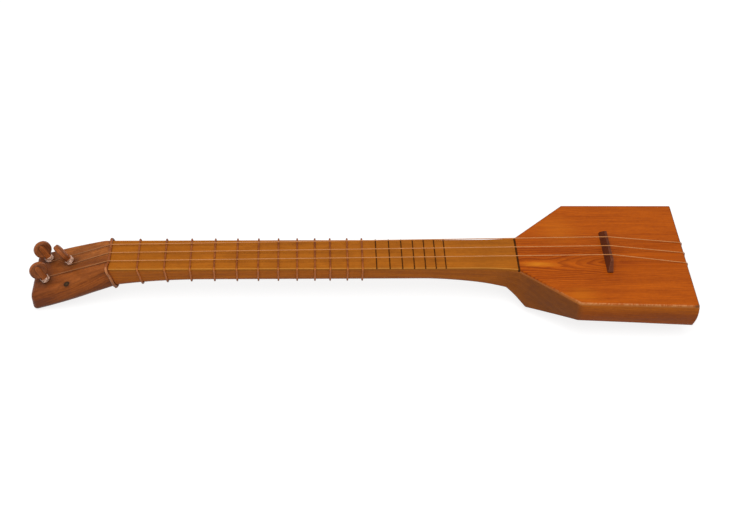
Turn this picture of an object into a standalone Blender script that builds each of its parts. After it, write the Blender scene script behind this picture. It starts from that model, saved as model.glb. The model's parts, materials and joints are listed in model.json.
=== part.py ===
"""A three-string folk lute: carved body, fretted neck, bent-back head and three friction pegs.

X runs from the head to the tail, Y across the strings and Z up. X = 0 is the far end of the
fret scale, and Z = 0 is the flat of the keel, on which the body rests. All sizes are in metres.
"""
import math

import bmesh
import bpy
import numpy as np
from mathutils import Matrix, Vector

OBJECT_NAME = "pandura"

# Fits
CLEARANCE = 0.0003           # gap between pieces that touch
PEG_CLEARANCE = 0.00015      # running gap between a peg and its bore

# Whole instrument
SCALE_LENGTH = 0.540         # nut to the far end of the fret scale
TOP_HEIGHT = 0.058           # playing face above the flat of the keel
BOARD_THICKNESS = 0.0035     # fingerboard and soundboard
EDGE_ROUND = 0.0016          # eased outer edges of the body and boards

# Neck
NECK_WIDTH = 0.0432
NECK_DEPTH = 0.0204          # playing face to the back of the neck
NECK_ROUND = 0.0070          # rounding of the back edges
NUT_DEPTH = 0.0280           # depth of the neck at the nut
NUT_SWELL = 0.100            # stretch over which the neck thickens towards the nut
NUT_LEAN = 14.0              # degrees that the nut end leans, its foot towards the body
HEEL_DEPTH = 0.0305          # depth of the neck where it meets the body
HEEL_SWELL = 0.088           # stretch over which the neck thickens towards the body
HEEL_ROUND = 0.0022          # rounding of the back edges where the neck meets the body
JOINT_WIDTH = 0.0484         # width where fingerboard and soundboard meet
FLARE_LENGTH = 0.045         # stretch over which the neck widens to that
TENON_WIDTH = 0.016
TENON_HEIGHT = 0.010
TENON_LENGTH = 0.018

# Head
HEAD_LENGTH = 0.0855
HEAD_ANGLE = 21.5            # degrees that the head bends back
HEAD_BEND = 0.030            # radius of the bend past the nut
HEAD_BLEND = 0.025           # stretch over which the head's edges round off past the nut
HEAD_END_WIDTH = 0.0616
HEAD_BULGE = 0.0025          # swelling of each side of the head over a straight taper
HEAD_FAR_ROUND = 0.0025      # the near edge of the head's face is worn rounder than the far one
HEAD_NEAR_ROUND = 0.0075
HEAD_BACK_ROUND = 0.0100
HEAD_END_ROUND = 0.0045
HEAD_END_LIFT = 0.0003       # back of the head above the ground at its end

# Body
JOINT_TO_SCALE_END = 0.1013  # front edge of the soundboard to the end of the fret scale
NECK_LANDING = 0.0104        # stretch of the body that lies under the fingerboard
SHOULDER_TO_SCALE_END = 0.0415
SCALE_END_TO_TAIL = 0.0838
SHOULDER_WIDTH = 0.1482
SHOULDER_OFFSET = 0.0014     # the body's outline is not quite square: middle of the shoulders
TAIL_WIDTH = 0.1526
TAIL_OFFSET = -0.0012        # and middle of the tail, off the line of the neck
SHOULDER_WALL = 0.028        # height of the upright side at the shoulder
TAIL_WALL = 0.032            # height of the upright side at the tail
WALL_SWELL = 0.0015          # swelling of the side and the tail between their edges
BACK_ANGLE = 31.1            # degrees that the two back facets rise from the keel
HEEL_ANGLE = 38.3            # degrees that the heel falls from the neck to the keel
HEEL_SPREAD = 0.0064         # spread of each side of the heel at the ground over its top
BODY_WALL = 0.006
FRONT_BLOCK = 0.034          # solid wood between the neck and the hollow
JOINT_STRIP = 0.0018         # width of the dark strip between the two boards

# Brace under the soundboard
BRACE_TO_SCALE_END = 0.026
BRACE_WIDTH = 0.007
BRACE_HEIGHT = 0.009
BRACE_END_HEIGHT = 0.003
BRACE_TAPER = 0.018

# Bridge
BRIDGE_AHEAD = 0.0020        # crest of the bridge short of the end of the fret scale
BRIDGE_HEIGHT = 0.012
BRIDGE_LENGTH = 0.060
BRIDGE_CREST_LENGTH = 0.044
BRIDGE_END_HEIGHT = 0.0025
BRIDGE_CREST = 0.0028        # width of the crest
BRIDGE_FOOT = 0.0060         # width of the foot
BRIDGE_FOOT_BACK = 0.0016    # foot past the crest's middle on the tail side
NOTCH_DEPTH = 0.0010

# Frets
TIED_FRETS = 12
INLAID_FRETS = 7
MOVED_FRET = 10              # tied fret that stands off its place in the scale
MOVED_FRET_SHIFT = -0.0016
NUT_CORD = 0.0028            # diameters of the tied cords
FRET_CORD = 0.0019
TIE_LAP = 0.012              # length over which a cord's two ends lie side by side
TIE_GAP = 0.0006             # gap between those ends
INLAY_WIDTH = 0.0007
INLAY_DEPTH = 0.0015
INLAY_PROUD = 0.0005

# Strings and pegs, from the far side to the near side
STRING = 0.0009
NUT_SPACING = 0.0122
BRIDGE_SPACING = 0.0135
TAIL_SPACING = 0.0154
PEG_DIAMETER = 0.0074        # at the face of the head
PEG_TAPER = 0.045            # loss of diameter for each unit of length
PEG_BACK = 0.0012            # peg past the back of the head
PEG_DISC = 0.0190
PEG_DISC_THICKNESS = 0.0062
PEG_DISC_ROUND = 0.0020
PEG_STEM = 0.0010            # bare shaft between the winding and the disc
OUTER_PEGS_TO_NUT = 0.0690
OUTER_PEG_SPACING = 0.0310
OUTER_PEGS_OFFSET = 0.0010
MIDDLE_PEG_TO_NUT = 0.0436
MIDDLE_PEG_OFFSET = 0.0034
PEG_TURNS = (-57.0, 30.0, -57.0)  # degrees that each disc is turned from facing the tail
PEG_LEANS = (0.0, 9.0, 0.0)  # degrees that each peg leans to the head's end, off square
COIL_LIFT = 0.0016           # first turn of string above the face of the head
COIL_TURNS = 3.5
COIL_GAP = 0.0005            # gap between the turns of a winding
PIN_DIAMETER = 0.0040        # pins that hold the strings at the tail
PIN_HEAD = 0.0066
PIN_HEAD_THICKNESS = 0.0018
PIN_DROP = 0.0180            # pins below the playing face, out of sight from above
PIN_TURNS = 1.25

# Fineness of the round shapes
ROUND_SIDES = 24
LOOP_POINTS = 24
CORNER_STEPS = 3
HEAD_STEPS = 6
BEND_STEPS = 3
NUT_SWELL_STEPS = 6
EVEN_NECK_STEPS = 2
HEEL_SWELL_STEPS = 8
FLARE_STEPS = 6
LANDING_STEPS = 4
SHOULDER_STEPS = 4
WALL_STEPS = 6
SHARP = math.radians(20)
MERGE = 0.00001              # points closer than this are one

# Places that follow from the sizes
NUT_X = -SCALE_LENGTH
JOINT_X = -JOINT_TO_SCALE_END
SEAM_X = JOINT_X - NECK_LANDING
SHOULDER_X = -SHOULDER_TO_SCALE_END
TAIL_X = SCALE_END_TO_TAIL
MEAN_WALL = (SHOULDER_WALL + TAIL_WALL) / 2
HEAD_END_X = NUT_X - HEAD_LENGTH
RIM = TOP_HEIGHT - BOARD_THICKNESS - CLEARANCE
LEAN = math.tan(math.radians(NUT_LEAN))
TILT = math.radians(HEAD_ANGLE)
COIL_PITCH = STRING + COIL_GAP
COIL_TOP = COIL_LIFT + COIL_PITCH * COIL_TURNS + STRING / 2
PEG_DISC_LIFT = COIL_TOP + PEG_STEM + PEG_DISC / 2
PIN_COIL_START = CLEARANCE + STRING / 2
PIN_NECK = PIN_COIL_START + COIL_PITCH * PIN_TURNS + STRING / 2 + CLEARANCE
PIN_BORE = PIN_DIAMETER / 2 + PEG_CLEARANCE

# Colours
COLOURS = {
    "pale_wood": (0.52, 0.22, 0.035, 0.45),
    "neck_wood": (0.34, 0.13, 0.03, 0.45),
    "head_wood": (0.30, 0.09, 0.025, 0.40),
    "top_wood": (0.50, 0.15, 0.02, 0.35),
    "body_wood": (0.32, 0.11, 0.025, 0.42),
    "bare_wood": (0.60, 0.40, 0.20, 0.70),
    "dark_wood": (0.06, 0.022, 0.012, 0.50),
    "peg_wood": (0.36, 0.13, 0.035, 0.40),
    "fret_gut": (0.33, 0.11, 0.07, 0.55),
    "string_nylon": (0.80, 0.62, 0.52, 0.30),
    "pin_metal": (0.62, 0.50, 0.28, 0.35),
}
METALS = ("pin_metal",)


def clear_scene():
    for item in list(bpy.data.objects):
        bpy.data.objects.remove(item, do_unlink=True)


def make_collection(name):
    collection = bpy.data.collections.new(name)
    bpy.context.scene.collection.children.link(collection)
    return collection


clear_scene()
PARTS = make_collection(OBJECT_NAME)
CUTTERS = make_collection(OBJECT_NAME + "_cutters")


def finish(name):
    """The Principled material of one kind of surface, made once."""
    if name in bpy.data.materials:
        return bpy.data.materials[name]
    red, green, blue, roughness = COLOURS[name]
    material = bpy.data.materials.new(name)
    material.use_nodes = True
    shader = material.node_tree.nodes["Principled BSDF"]
    shader.inputs["Base Color"].default_value = (red, green, blue, 1.0)
    shader.inputs["Roughness"].default_value = roughness
    shader.inputs["Metallic"].default_value = 1.0 if name in METALS else 0.0
    return material


def add_part(name, mesh, surface):
    mesh.materials.clear()
    mesh.materials.append(finish(surface))
    part = bpy.data.objects.new(name, mesh)
    PARTS.objects.link(part)
    return part


def add_cutter(name, mesh):
    cutter = bpy.data.objects.new(name, mesh)
    cutter.hide_render = True
    cutter.display_type = "WIRE"
    CUTTERS.objects.link(cutter)
    return cutter


def combine(part, tool, operation):
    """Cut a part with a tool, or join the tool to it."""
    modifier = part.modifiers.new(tool.name, "BOOLEAN")
    modifier.operation = operation
    modifier.object = tool
    modifier.solver = "EXACT"


def store(bm, name):
    """Turn an edited mesh into stored data, with its faces pointing out."""
    bmesh.ops.recalc_face_normals(bm, faces=bm.faces[:])
    mesh = bpy.data.meshes.new(name)
    bm.to_mesh(mesh)
    bm.free()
    return mesh


def loft(name, rings):
    """A closed solid through rings that have the same number of points."""
    bm = bmesh.new()
    loops = [[bm.verts.new(point) for point in ring] for ring in rings]
    count = len(rings[0])
    for first, second in zip(loops, loops[1:]):
        for here in range(count):
            after = (here + 1) % count
            bm.faces.new((first[here], first[after], second[after], second[here]))
    bm.faces.new(loops[0])
    bm.faces.new(loops[-1])
    return store(bm, name)


def settled(source):
    """The welded mesh of an object as Blender evaluates it; the object itself is removed."""
    bpy.context.scene.collection.objects.link(source)
    bpy.context.view_layer.update()
    evaluated = source.evaluated_get(bpy.context.evaluated_depsgraph_get())
    mesh = bpy.data.meshes.new_from_object(evaluated)
    mesh.transform(source.matrix_world)
    bpy.data.objects.remove(source, do_unlink=True)
    bm = bmesh.new()
    bm.from_mesh(mesh)
    bmesh.ops.remove_doubles(bm, verts=bm.verts[:], dist=MERGE)
    return bm


def plate(name, outline, bottom, top):
    """A flat board with the given outline, from a filled curve."""
    curve = bpy.data.curves.new(name, "CURVE")
    curve.dimensions = "2D"
    curve.fill_mode = "BOTH"
    curve.extrude = (top - bottom) / 2
    spline = curve.splines.new("POLY")
    spline.points.add(len(outline) - 1)
    for point, (x, y) in zip(spline.points, outline):
        point.co = (x, y, 0.0, 1.0)
    spline.use_cyclic_u = True
    source = bpy.data.objects.new(name + "_outline", curve)
    source.location.z = (top + bottom) / 2
    bm = settled(source)
    bmesh.ops.dissolve_limit(bm, angle_limit=math.radians(0.5), verts=bm.verts[:], edges=bm.edges[:])
    return store(bm, name)


def turned(name, profile):
    """A round solid about Z, from a profile of (radius, height) points, low to high."""
    points = [(0.0, profile[0][1]), *profile, (0.0, profile[-1][1])]
    mesh = bpy.data.meshes.new(name)
    edges = [(here, here + 1) for here in range(len(points) - 1)]
    mesh.from_pydata([(radius, 0.0, height) for radius, height in reversed(points)], edges, [])
    source = bpy.data.objects.new(name + "_profile", mesh)
    screw = source.modifiers.new("turn", "SCREW")
    screw.steps = ROUND_SIDES
    screw.render_steps = ROUND_SIDES
    screw.use_merge_vertices = True
    screw.merge_threshold = MERGE
    mesh = store(settled(source), name)
    shade_round(mesh)
    return mesh


def block(name, low, high):
    """A rectangular block between two corners."""
    bm = bmesh.new()
    bmesh.ops.create_cube(bm, size=1.0)
    low, high = Vector(low), Vector(high)
    for vertex in bm.verts:
        vertex.co = [low[i] + (high[i] - low[i]) * (vertex.co[i] + 0.5) for i in range(3)]
    return store(bm, name)


def saw(mesh, point, normal):
    """Saw off what lies beyond a plane."""
    bm = bmesh.new()
    bm.from_mesh(mesh)
    everything = bm.verts[:] + bm.edges[:] + bm.faces[:]
    cut = bmesh.ops.bisect_plane(
        bm, geom=everything, plane_co=point, plane_no=normal, clear_outer=True, dist=1e-7)
    edges = [item for item in cut["geom_cut"] if isinstance(item, bmesh.types.BMEdge)]
    bmesh.ops.holes_fill(bm, edges=edges)
    bmesh.ops.recalc_face_normals(bm, faces=bm.faces[:])
    bm.to_mesh(mesh)
    bm.free()


def ease_edges(mesh, radius):
    """Round every sharp edge of a mesh."""
    bm = bmesh.new()
    bm.from_mesh(mesh)
    edges = [edge for edge in bm.edges if edge.calc_face_angle(0.0) > SHARP]
    bmesh.ops.bevel(bm, geom=edges, offset=radius, segments=2, profile=0.5, affect="EDGES")
    bm.to_mesh(mesh)
    bm.free()


def split_twisted(mesh):
    """Split the faces that are not flat into flat ones."""
    bm = bmesh.new()
    bm.from_mesh(mesh)
    bmesh.ops.connect_verts_nonplanar(bm, angle_limit=math.radians(0.05), faces=bm.faces[:])
    bm.to_mesh(mesh)
    bm.free()


def shade_round(mesh):
    mesh.shade_smooth()
    mesh.set_sharp_from_angle(angle=math.radians(35))


def least_gap(points, diameter):
    """Least gap between stretches of one tube that lie more than three diameters apart along it."""
    dense = []
    for start, end in zip(points, points[1:]):
        steps = max(1, round((end - start).length / (diameter / 2)))
        dense += [start.lerp(end, step / steps) for step in range(steps)]
    dense.append(points[-1])
    places = np.array([tuple(point) for point in dense])
    along = np.concatenate(([0.0], np.cumsum(np.linalg.norm(np.diff(places, axis=0), axis=1))))
    apart = np.linalg.norm(places[:, None] - places[None], axis=2)
    apart[np.abs(along[:, None] - along[None]) < 3 * diameter] = np.inf
    return float(apart.min()) - diameter


def tube(name, points, diameter, surface):
    """One unbroken cord along the given points."""
    curve = bpy.data.curves.new(name, "CURVE")
    curve.dimensions = "3D"
    curve.bevel_depth = diameter / 2
    curve.bevel_resolution = 1
    curve.use_fill_caps = True
    spline = curve.splines.new("POLY")
    spline.points.add(len(points) - 1)
    for point, place in zip(spline.points, points):
        point.co = (*place, 1.0)
    curve.materials.append(finish(surface))
    cord = bpy.data.objects.new(name, curve)
    PARTS.objects.link(cord)
    print(f"{name}: least gap to itself {least_gap(points, diameter) * 1000:.2f} mm")


def spread(start, end, steps):
    """Evenly spaced values from start to end, both included."""
    return [start + (end - start) * step / steps for step in range(steps + 1)]


# Shape of the neck

def nut_share(x):
    """1 at the nut, falling to 0 where the neck has its even depth."""
    return max(0.0, 1.0 - (x - NUT_X) / NUT_SWELL)


def heel_share(x):
    """0 along the even neck, rising to 1 at the body."""
    return min(1.0, max(0.0, 1.0 + (x - SEAM_X) / HEEL_SWELL))


def neck_half_width(x):
    flare = max(0.0, 1.0 + (x - JOINT_X) / FLARE_LENGTH)
    return (NECK_WIDTH + (JOINT_WIDTH - NECK_WIDTH) * flare ** 2) / 2


def neck_depth(x):
    to_nut = (NUT_DEPTH - NECK_DEPTH) * nut_share(x) ** 2
    to_heel = (HEEL_DEPTH - NECK_DEPTH) * heel_share(x) ** 2
    return NECK_DEPTH + to_nut + to_heel


def neck_round(x):
    return NECK_ROUND + (HEEL_ROUND - NECK_ROUND) * heel_share(x)


def quarter(across, up, radius, start):
    """Points of a quarter circle about a centre, counted from a starting angle in degrees."""
    angles = [math.radians(angle) for angle in spread(start, start + 90, CORNER_STEPS)]
    return [(across + radius * math.cos(a), up + radius * math.sin(a)) for a in angles]


def rounded_section(half_width, top, bottom, far_round, near_round, back_round):
    """Points (y, z) round a section, from the far back corner over the top to the near one."""
    corners = (
        (half_width - back_round, bottom + back_round, back_round, 270),
        (half_width - far_round, top - far_round, far_round, 0),
        (near_round - half_width, top - near_round, near_round, 90),
        (back_round - half_width, bottom + back_round, back_round, 180),
    )
    points = []
    for y, z, radius, start in corners:
        points += quarter(y, z, radius, start)
    return points


def leaning(x, lean, section):
    """Stand a section at x, its foot leaning towards the body."""
    return [Vector((x + lean * (TOP_HEIGHT - z), y, z)) for y, z in section]


# Shape of the head

def head_share(x):
    """0 at the nut, 1 at the end of the head."""
    return (NUT_X - x) / HEAD_LENGTH


def head_half_width(x):
    share = head_share(x)
    straight = NECK_WIDTH + (HEAD_END_WIDTH - NECK_WIDTH) * share
    return straight / 2 + HEAD_BULGE * 4 * share * (1 - share)


def head_top(x):
    """Height of the head's face, which bends back past the nut."""
    ahead = NUT_X - x
    bend_length = HEAD_BEND * math.sin(TILT)
    if ahead < bend_length:
        return TOP_HEIGHT - HEAD_BEND + math.sqrt(HEAD_BEND ** 2 - ahead ** 2)
    drop = HEAD_BEND * (1 - math.cos(TILT)) + (ahead - bend_length) * math.tan(TILT)
    return TOP_HEIGHT - drop


def head_back(x, lean):
    """Height of the head's back where a section that leans from x meets it."""
    seam_x = NUT_X + LEAN * NUT_DEPTH
    seam_z = TOP_HEIGHT - NUT_DEPTH
    slope = (seam_z - HEAD_END_LIFT) / (seam_x - HEAD_END_X - HEAD_END_ROUND)
    return (seam_z + slope * (x + lean * TOP_HEIGHT - seam_x)) / (1 + slope * lean)


def head_ring(x, inset):
    lean = LEAN * (1 - head_share(x))
    soft = min(1.0, (NUT_X - x) / HEAD_BLEND)
    section = rounded_section(
        head_half_width(x) - inset,
        head_top(x) - inset,
        head_back(x, lean) + inset,
        max(CLEARANCE, HEAD_FAR_ROUND * soft + EDGE_ROUND * (1 - soft) - inset),
        max(CLEARANCE, HEAD_NEAR_ROUND * soft + EDGE_ROUND * (1 - soft) - inset),
        max(CLEARANCE, HEAD_BACK_ROUND * soft + NECK_ROUND * (1 - soft) - inset),
    )
    return leaning(x, lean, section)


def make_head():
    rings = []
    for step in range(CORNER_STEPS):
        angle = math.radians(90 * step / CORNER_STEPS)
        x = HEAD_END_X + HEAD_END_ROUND * (1 - math.cos(angle))
        rings.append(head_ring(x, HEAD_END_ROUND * (1 - math.sin(angle))))
    first = HEAD_END_X + HEAD_END_ROUND
    bend = NUT_X - HEAD_BEND * math.sin(TILT)
    stations = spread(first, bend, HEAD_STEPS) + spread(bend, NUT_X, BEND_STEPS)[1:]
    rings += [head_ring(x, 0.0) for x in stations]
    mesh = loft("head", rings)
    shade_round(mesh)
    head = add_part("head", mesh, "head_wood")
    combine(head, add_cutter("head_mortise", head_tenon(CLEARANCE)), "DIFFERENCE")
    return head


def head_tenon(grow):
    middle = TOP_HEIGHT - (BOARD_THICKNESS + NUT_DEPTH) / 2
    return block(
        "head_tenon",
        (NUT_X - TENON_LENGTH - grow, -TENON_WIDTH / 2 - grow, middle - TENON_HEIGHT / 2 - grow),
        (NUT_X + TENON_LENGTH, TENON_WIDTH / 2 + grow, middle + TENON_HEIGHT / 2 + grow),
    )


def heel_tenon(grow):
    middle = TOP_HEIGHT - (BOARD_THICKNESS + HEEL_DEPTH) / 2
    return block(
        "heel_tenon",
        (SEAM_X - TENON_LENGTH, -TENON_WIDTH / 2 - grow, middle - TENON_HEIGHT / 2 - grow),
        (SEAM_X + TENON_LENGTH + grow, TENON_WIDTH / 2 + grow, middle + TENON_HEIGHT / 2 + grow),
    )


def make_neck():
    """Round-backed neck, tenoned into the head and the body."""
    swell_end = NUT_X + NUT_SWELL
    heel_start = SEAM_X - HEEL_SWELL
    stations = spread(NUT_X + CLEARANCE, swell_end, NUT_SWELL_STEPS)
    stations += spread(swell_end, heel_start, EVEN_NECK_STEPS)[1:]
    stations += spread(heel_start, SEAM_X - CLEARANCE, HEEL_SWELL_STEPS)[1:]
    rings = []
    for x in stations:
        section = rounded_section(
            neck_half_width(x), RIM, TOP_HEIGHT - neck_depth(x), CLEARANCE, CLEARANCE, neck_round(x))
        rings.append(leaning(x, LEAN * nut_share(x), section))
    mesh = loft("neck", rings)
    shade_round(mesh)
    neck = add_part("neck", mesh, "neck_wood")
    combine(neck, add_cutter("head_tenon", head_tenon(0.0)), "UNION")
    combine(neck, add_cutter("heel_tenon", heel_tenon(0.0)), "UNION")


def neck_side(start, end, steps):
    """Points (x, half width) along the flaring side of the neck."""
    return [(x, neck_half_width(x)) for x in spread(start, end, steps)]


def both_sides(side):
    """A closed outline from one side and its mirror image."""
    return side + [(x, -y) for x, y in reversed(side)]


def make_fingerboard():
    end = JOINT_X - JOINT_STRIP / 2 - CLEARANCE
    side = [(NUT_X - EDGE_ROUND, NECK_WIDTH / 2)]
    side += neck_side(JOINT_X - FLARE_LENGTH, end, FLARE_STEPS)
    mesh = plate("fingerboard", both_sides(side), RIM + CLEARANCE, TOP_HEIGHT)
    saw(mesh, (NUT_X + CLEARANCE, 0, TOP_HEIGHT), (-1, 0, -LEAN))
    board = add_part("fingerboard", mesh, "pale_wood")
    for number in range(TIED_FRETS + 1, TIED_FRETS + INLAID_FRETS + 1):
        x = fret_x(number)
        reach = INLAY_WIDTH / 2 + CLEARANCE
        floor = TOP_HEIGHT - INLAY_DEPTH - CLEARANCE
        slot = block(
            f"slot_{number}",
            (x - reach, -JOINT_WIDTH, floor),
            (x + reach, JOINT_WIDTH, TOP_HEIGHT + INLAY_DEPTH),
        )
        combine(board, add_cutter(f"slot_{number}", slot), "DIFFERENCE")


# Frets

def fret_x(number):
    shift = MOVED_FRET_SHIFT if number == MOVED_FRET else 0.0
    return -SCALE_LENGTH * 2 ** (-number / 12) + shift


def tied_cord(name, x, diameter):
    """A cord tied once round the neck, its two ends side by side under the back."""
    reach = CLEARANCE + diameter / 2
    section = rounded_section(
        neck_half_width(x) + reach,
        TOP_HEIGHT + reach,
        TOP_HEIGHT - neck_depth(x) - reach,
        CLEARANCE + reach,
        CLEARANCE + reach,
        neck_round(x) + reach,
    )
    bottom = TOP_HEIGHT - neck_depth(x) - reach
    first_end = [(-TIE_LAP / 2, bottom)]
    second_end = [(-TIE_LAP / 2 - 2 * diameter, bottom), (TIE_LAP / 2, bottom)]
    points = leaning(x, LEAN * nut_share(x), first_end + section + second_end)
    for point in points[-len(second_end):]:
        point.x += diameter + TIE_GAP
    tube(name, points, diameter, "fret_gut")


def make_frets():
    tied_cord("nut_cord", NUT_X, NUT_CORD)
    for number in range(1, TIED_FRETS + 1):
        tied_cord(f"fret_cord_{number:02d}", fret_x(number), FRET_CORD)
    for number in range(TIED_FRETS + 1, TIED_FRETS + INLAID_FRETS + 1):
        x = fret_x(number)
        half = neck_half_width(x)
        mesh = block(
            f"inlaid_fret_{number}",
            (x - INLAY_WIDTH / 2, -half, TOP_HEIGHT - INLAY_DEPTH),
            (x + INLAY_WIDTH / 2, half, TOP_HEIGHT + INLAY_PROUD),
        )
        ease_edges(mesh, INLAY_PROUD / 2)
        add_part(f"inlaid_fret_{number}", mesh, "dark_wood")


# Body

def wall_swell(z):
    """How far the side and the tail of the body stand past their top edge at a height."""
    share = min(1.0, max(0.0, (TOP_HEIGHT - z) / MEAN_WALL))
    return WALL_SWELL * 4 * share * (1 - share)


def side_corners(side, swell=0.0):
    """Shoulder and tail corners of the body on its far (1) or near (-1) side."""
    return [
        (SHOULDER_X, SHOULDER_OFFSET + side * (SHOULDER_WIDTH / 2 + swell)),
        (TAIL_X + swell, TAIL_OFFSET + side * (TAIL_WIDTH / 2 + swell)),
    ]


def edge_y(x, side, swell=0.0):
    """Side of the body at x, along the shoulder or behind it."""
    joint = (JOINT_X, side * JOINT_WIDTH / 2)
    shoulder, tail = side_corners(side, swell)
    start, end = (joint, shoulder) if x < SHOULDER_X else (shoulder, tail)
    return start[1] + (end[1] - start[1]) * (x - start[0]) / (end[0] - start[0])


def body_outline(front, swell=0.0):
    """Outline of the body behind a front edge, clockwise from above."""
    far = [(front, edge_y(front, 1, swell)), *side_corners(1, swell)]
    near = [(front, edge_y(front, -1, swell)), *side_corners(-1, swell)]
    return far + near[::-1]


def inset_outline(outline, distance):
    """Move every edge of a convex outline, listed clockwise, inwards by a distance."""
    lines = []
    for (x1, y1), (x2, y2) in zip(outline, outline[1:] + outline[:1]):
        length = math.hypot(x2 - x1, y2 - y1)
        normal = ((y2 - y1) / length, (x1 - x2) / length)
        lines.append((normal, normal[0] * x1 + normal[1] * y1 + distance))
    corners = []
    for (first, first_at), (second, second_at) in zip(lines[-1:] + lines[:-1], lines):
        across = first[0] * second[1] - first[1] * second[0]
        corners.append((
            (first_at * second[1] - second_at * first[1]) / across,
            (first[0] * second_at - second[0] * first_at) / across,
        ))
    return corners


def carve_back(mesh, inset):
    """Saw the keel, the two back facets and the heel, each moved inwards by a wall."""
    saw(mesh, (0, 0, inset), (0, 0, -1))
    rise = math.tan(math.radians(BACK_ANGLE))
    for side in (1, -1):
        corners = zip(side_corners(side), (SHOULDER_WALL, TAIL_WALL))
        shoulder, tail = [Vector((x, y, TOP_HEIGHT - wall)) for (x, y), wall in corners]
        normal = (tail - shoulder).cross(Vector((0, 1, rise * side))).normalized()
        if normal.z > 0:
            normal.negate()
        saw(mesh, shoulder - normal * inset, normal)
    heel = math.radians(HEEL_ANGLE)
    normal = Vector((-math.sin(heel), 0, -math.cos(heel)))
    saw(mesh, Vector((SEAM_X, 0, TOP_HEIGHT - HEEL_DEPTH)) - normal * inset, normal)


def body_ring(z, spare):
    """Outline of the body's block at a height, its heel spreading towards the ground."""
    spread = HEEL_SPREAD * (RIM - z) / RIM
    ring = []
    for side in (1, -1):
        points = []
        for x, half in neck_side(SEAM_X - spare, JOINT_X, LANDING_STEPS):
            points.append((x, side * (half + spread * max(0.0, (x - SEAM_X) / NECK_LANDING)), z))
        corner = Vector(points[-1])
        shoulder, tail = [(x, y, z) for x, y in side_corners(side, wall_swell(z))]
        points += [corner.lerp(shoulder, step / SHOULDER_STEPS) for step in range(1, SHOULDER_STEPS)]
        points += [shoulder, tail]
        ring += points[::side]
    return ring


def make_body():
    """Trough carved from one block, with a sawn keel, back facets and heel."""
    spare = 4 * EDGE_ROUND
    heights = [TOP_HEIGHT - MEAN_WALL * (1 - step / WALL_STEPS) for step in range(WALL_STEPS + 1)]
    mesh = loft("body_shell", [body_ring(z, spare) for z in (-spare, *heights)])
    carve_back(mesh, 0.0)
    ease_edges(mesh, EDGE_ROUND)
    saw(mesh, (0, 0, RIM), (0, 0, 1))
    saw(mesh, (SEAM_X, 0, 0), (-1, 0, 0))
    split_twisted(mesh)
    body = add_part("body_shell", mesh, "body_wood")

    front = SEAM_X + FRONT_BLOCK - BODY_WALL
    hollow = plate(
        "body_hollow",
        inset_outline(body_outline(front), BODY_WALL),
        0.0,
        RIM + spare,
    )
    carve_back(hollow, BODY_WALL)
    combine(body, add_cutter("body_hollow", hollow), "DIFFERENCE")
    combine(body, add_cutter("heel_mortise", heel_tenon(CLEARANCE)), "DIFFERENCE")
    for number in range(3):
        name = f"pin_bore_{number + 1}"
        cutter = add_cutter(name, turned(name, [(PIN_BORE, -2 * BODY_WALL), (PIN_BORE, BODY_WALL)]))
        cutter.matrix_world = pin_matrix(number)
        combine(body, cutter, "DIFFERENCE")


def make_soundboard():
    spare = 4 * EDGE_ROUND
    front = JOINT_X + JOINT_STRIP / 2 + CLEARANCE
    underside = RIM + CLEARANCE
    slope = wall_swell(underside) / (TOP_HEIGHT - underside)
    rings = []
    for z in (underside - spare, TOP_HEIGHT):
        rings.append([(x, y, z) for x, y in body_outline(front - spare, slope * (TOP_HEIGHT - z))])
    mesh = loft("soundboard", rings)
    ease_edges(mesh, EDGE_ROUND)
    saw(mesh, (0, 0, underside), (0, 0, -1))
    saw(mesh, (front, 0, 0), (-1, 0, 0))
    add_part("soundboard", mesh, "top_wood")

    strip = block(
        "joint_strip",
        (JOINT_X - JOINT_STRIP / 2, -JOINT_WIDTH / 2, RIM + CLEARANCE),
        (JOINT_X + JOINT_STRIP / 2, JOINT_WIDTH / 2, TOP_HEIGHT),
    )
    add_part("joint_strip", strip, "dark_wood")


def crossbar(name, stations, surface):
    """A bar across the instrument through sections (x, z), each at its own y."""
    rings = [[(x, y, z) for x, z in section] for y, section in stations]
    return add_part(name, loft(name, rings), surface)


def make_brace():
    x = -BRACE_TO_SCALE_END
    near = edge_y(x, -1) + BODY_WALL + CLEARANCE
    far = edge_y(x, 1) - BODY_WALL - CLEARANCE
    front, back = x - BRACE_WIDTH / 2, x + BRACE_WIDTH / 2

    def section(height):
        return [(front, RIM), (back, RIM), (back, RIM - height), (front, RIM - height)]

    stations = [
        (near, section(BRACE_END_HEIGHT)),
        (near + BRACE_TAPER, section(BRACE_HEIGHT)),
        (far - BRACE_TAPER, section(BRACE_HEIGHT)),
        (far, section(BRACE_END_HEIGHT)),
    ]
    crossbar("soundboard_brace", stations, "bare_wood")


# Bridge

def bridge_section(height):
    """Section of the bridge cut down to a height: upright on the tail side, sloping to the nut."""
    foot_tail = BRIDGE_FOOT_BACK - BRIDGE_AHEAD
    foot_nut = foot_tail - BRIDGE_FOOT
    crest_nut = -BRIDGE_AHEAD - BRIDGE_CREST / 2
    crest_tail = -BRIDGE_AHEAD + BRIDGE_CREST / 2
    share = height / BRIDGE_HEIGHT
    seat = TOP_HEIGHT + CLEARANCE
    return [
        (foot_nut, seat),
        (foot_tail, seat),
        (foot_tail + (crest_tail - foot_tail) * share, seat + height),
        (foot_nut + (crest_nut - foot_nut) * share, seat + height),
    ]


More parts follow.
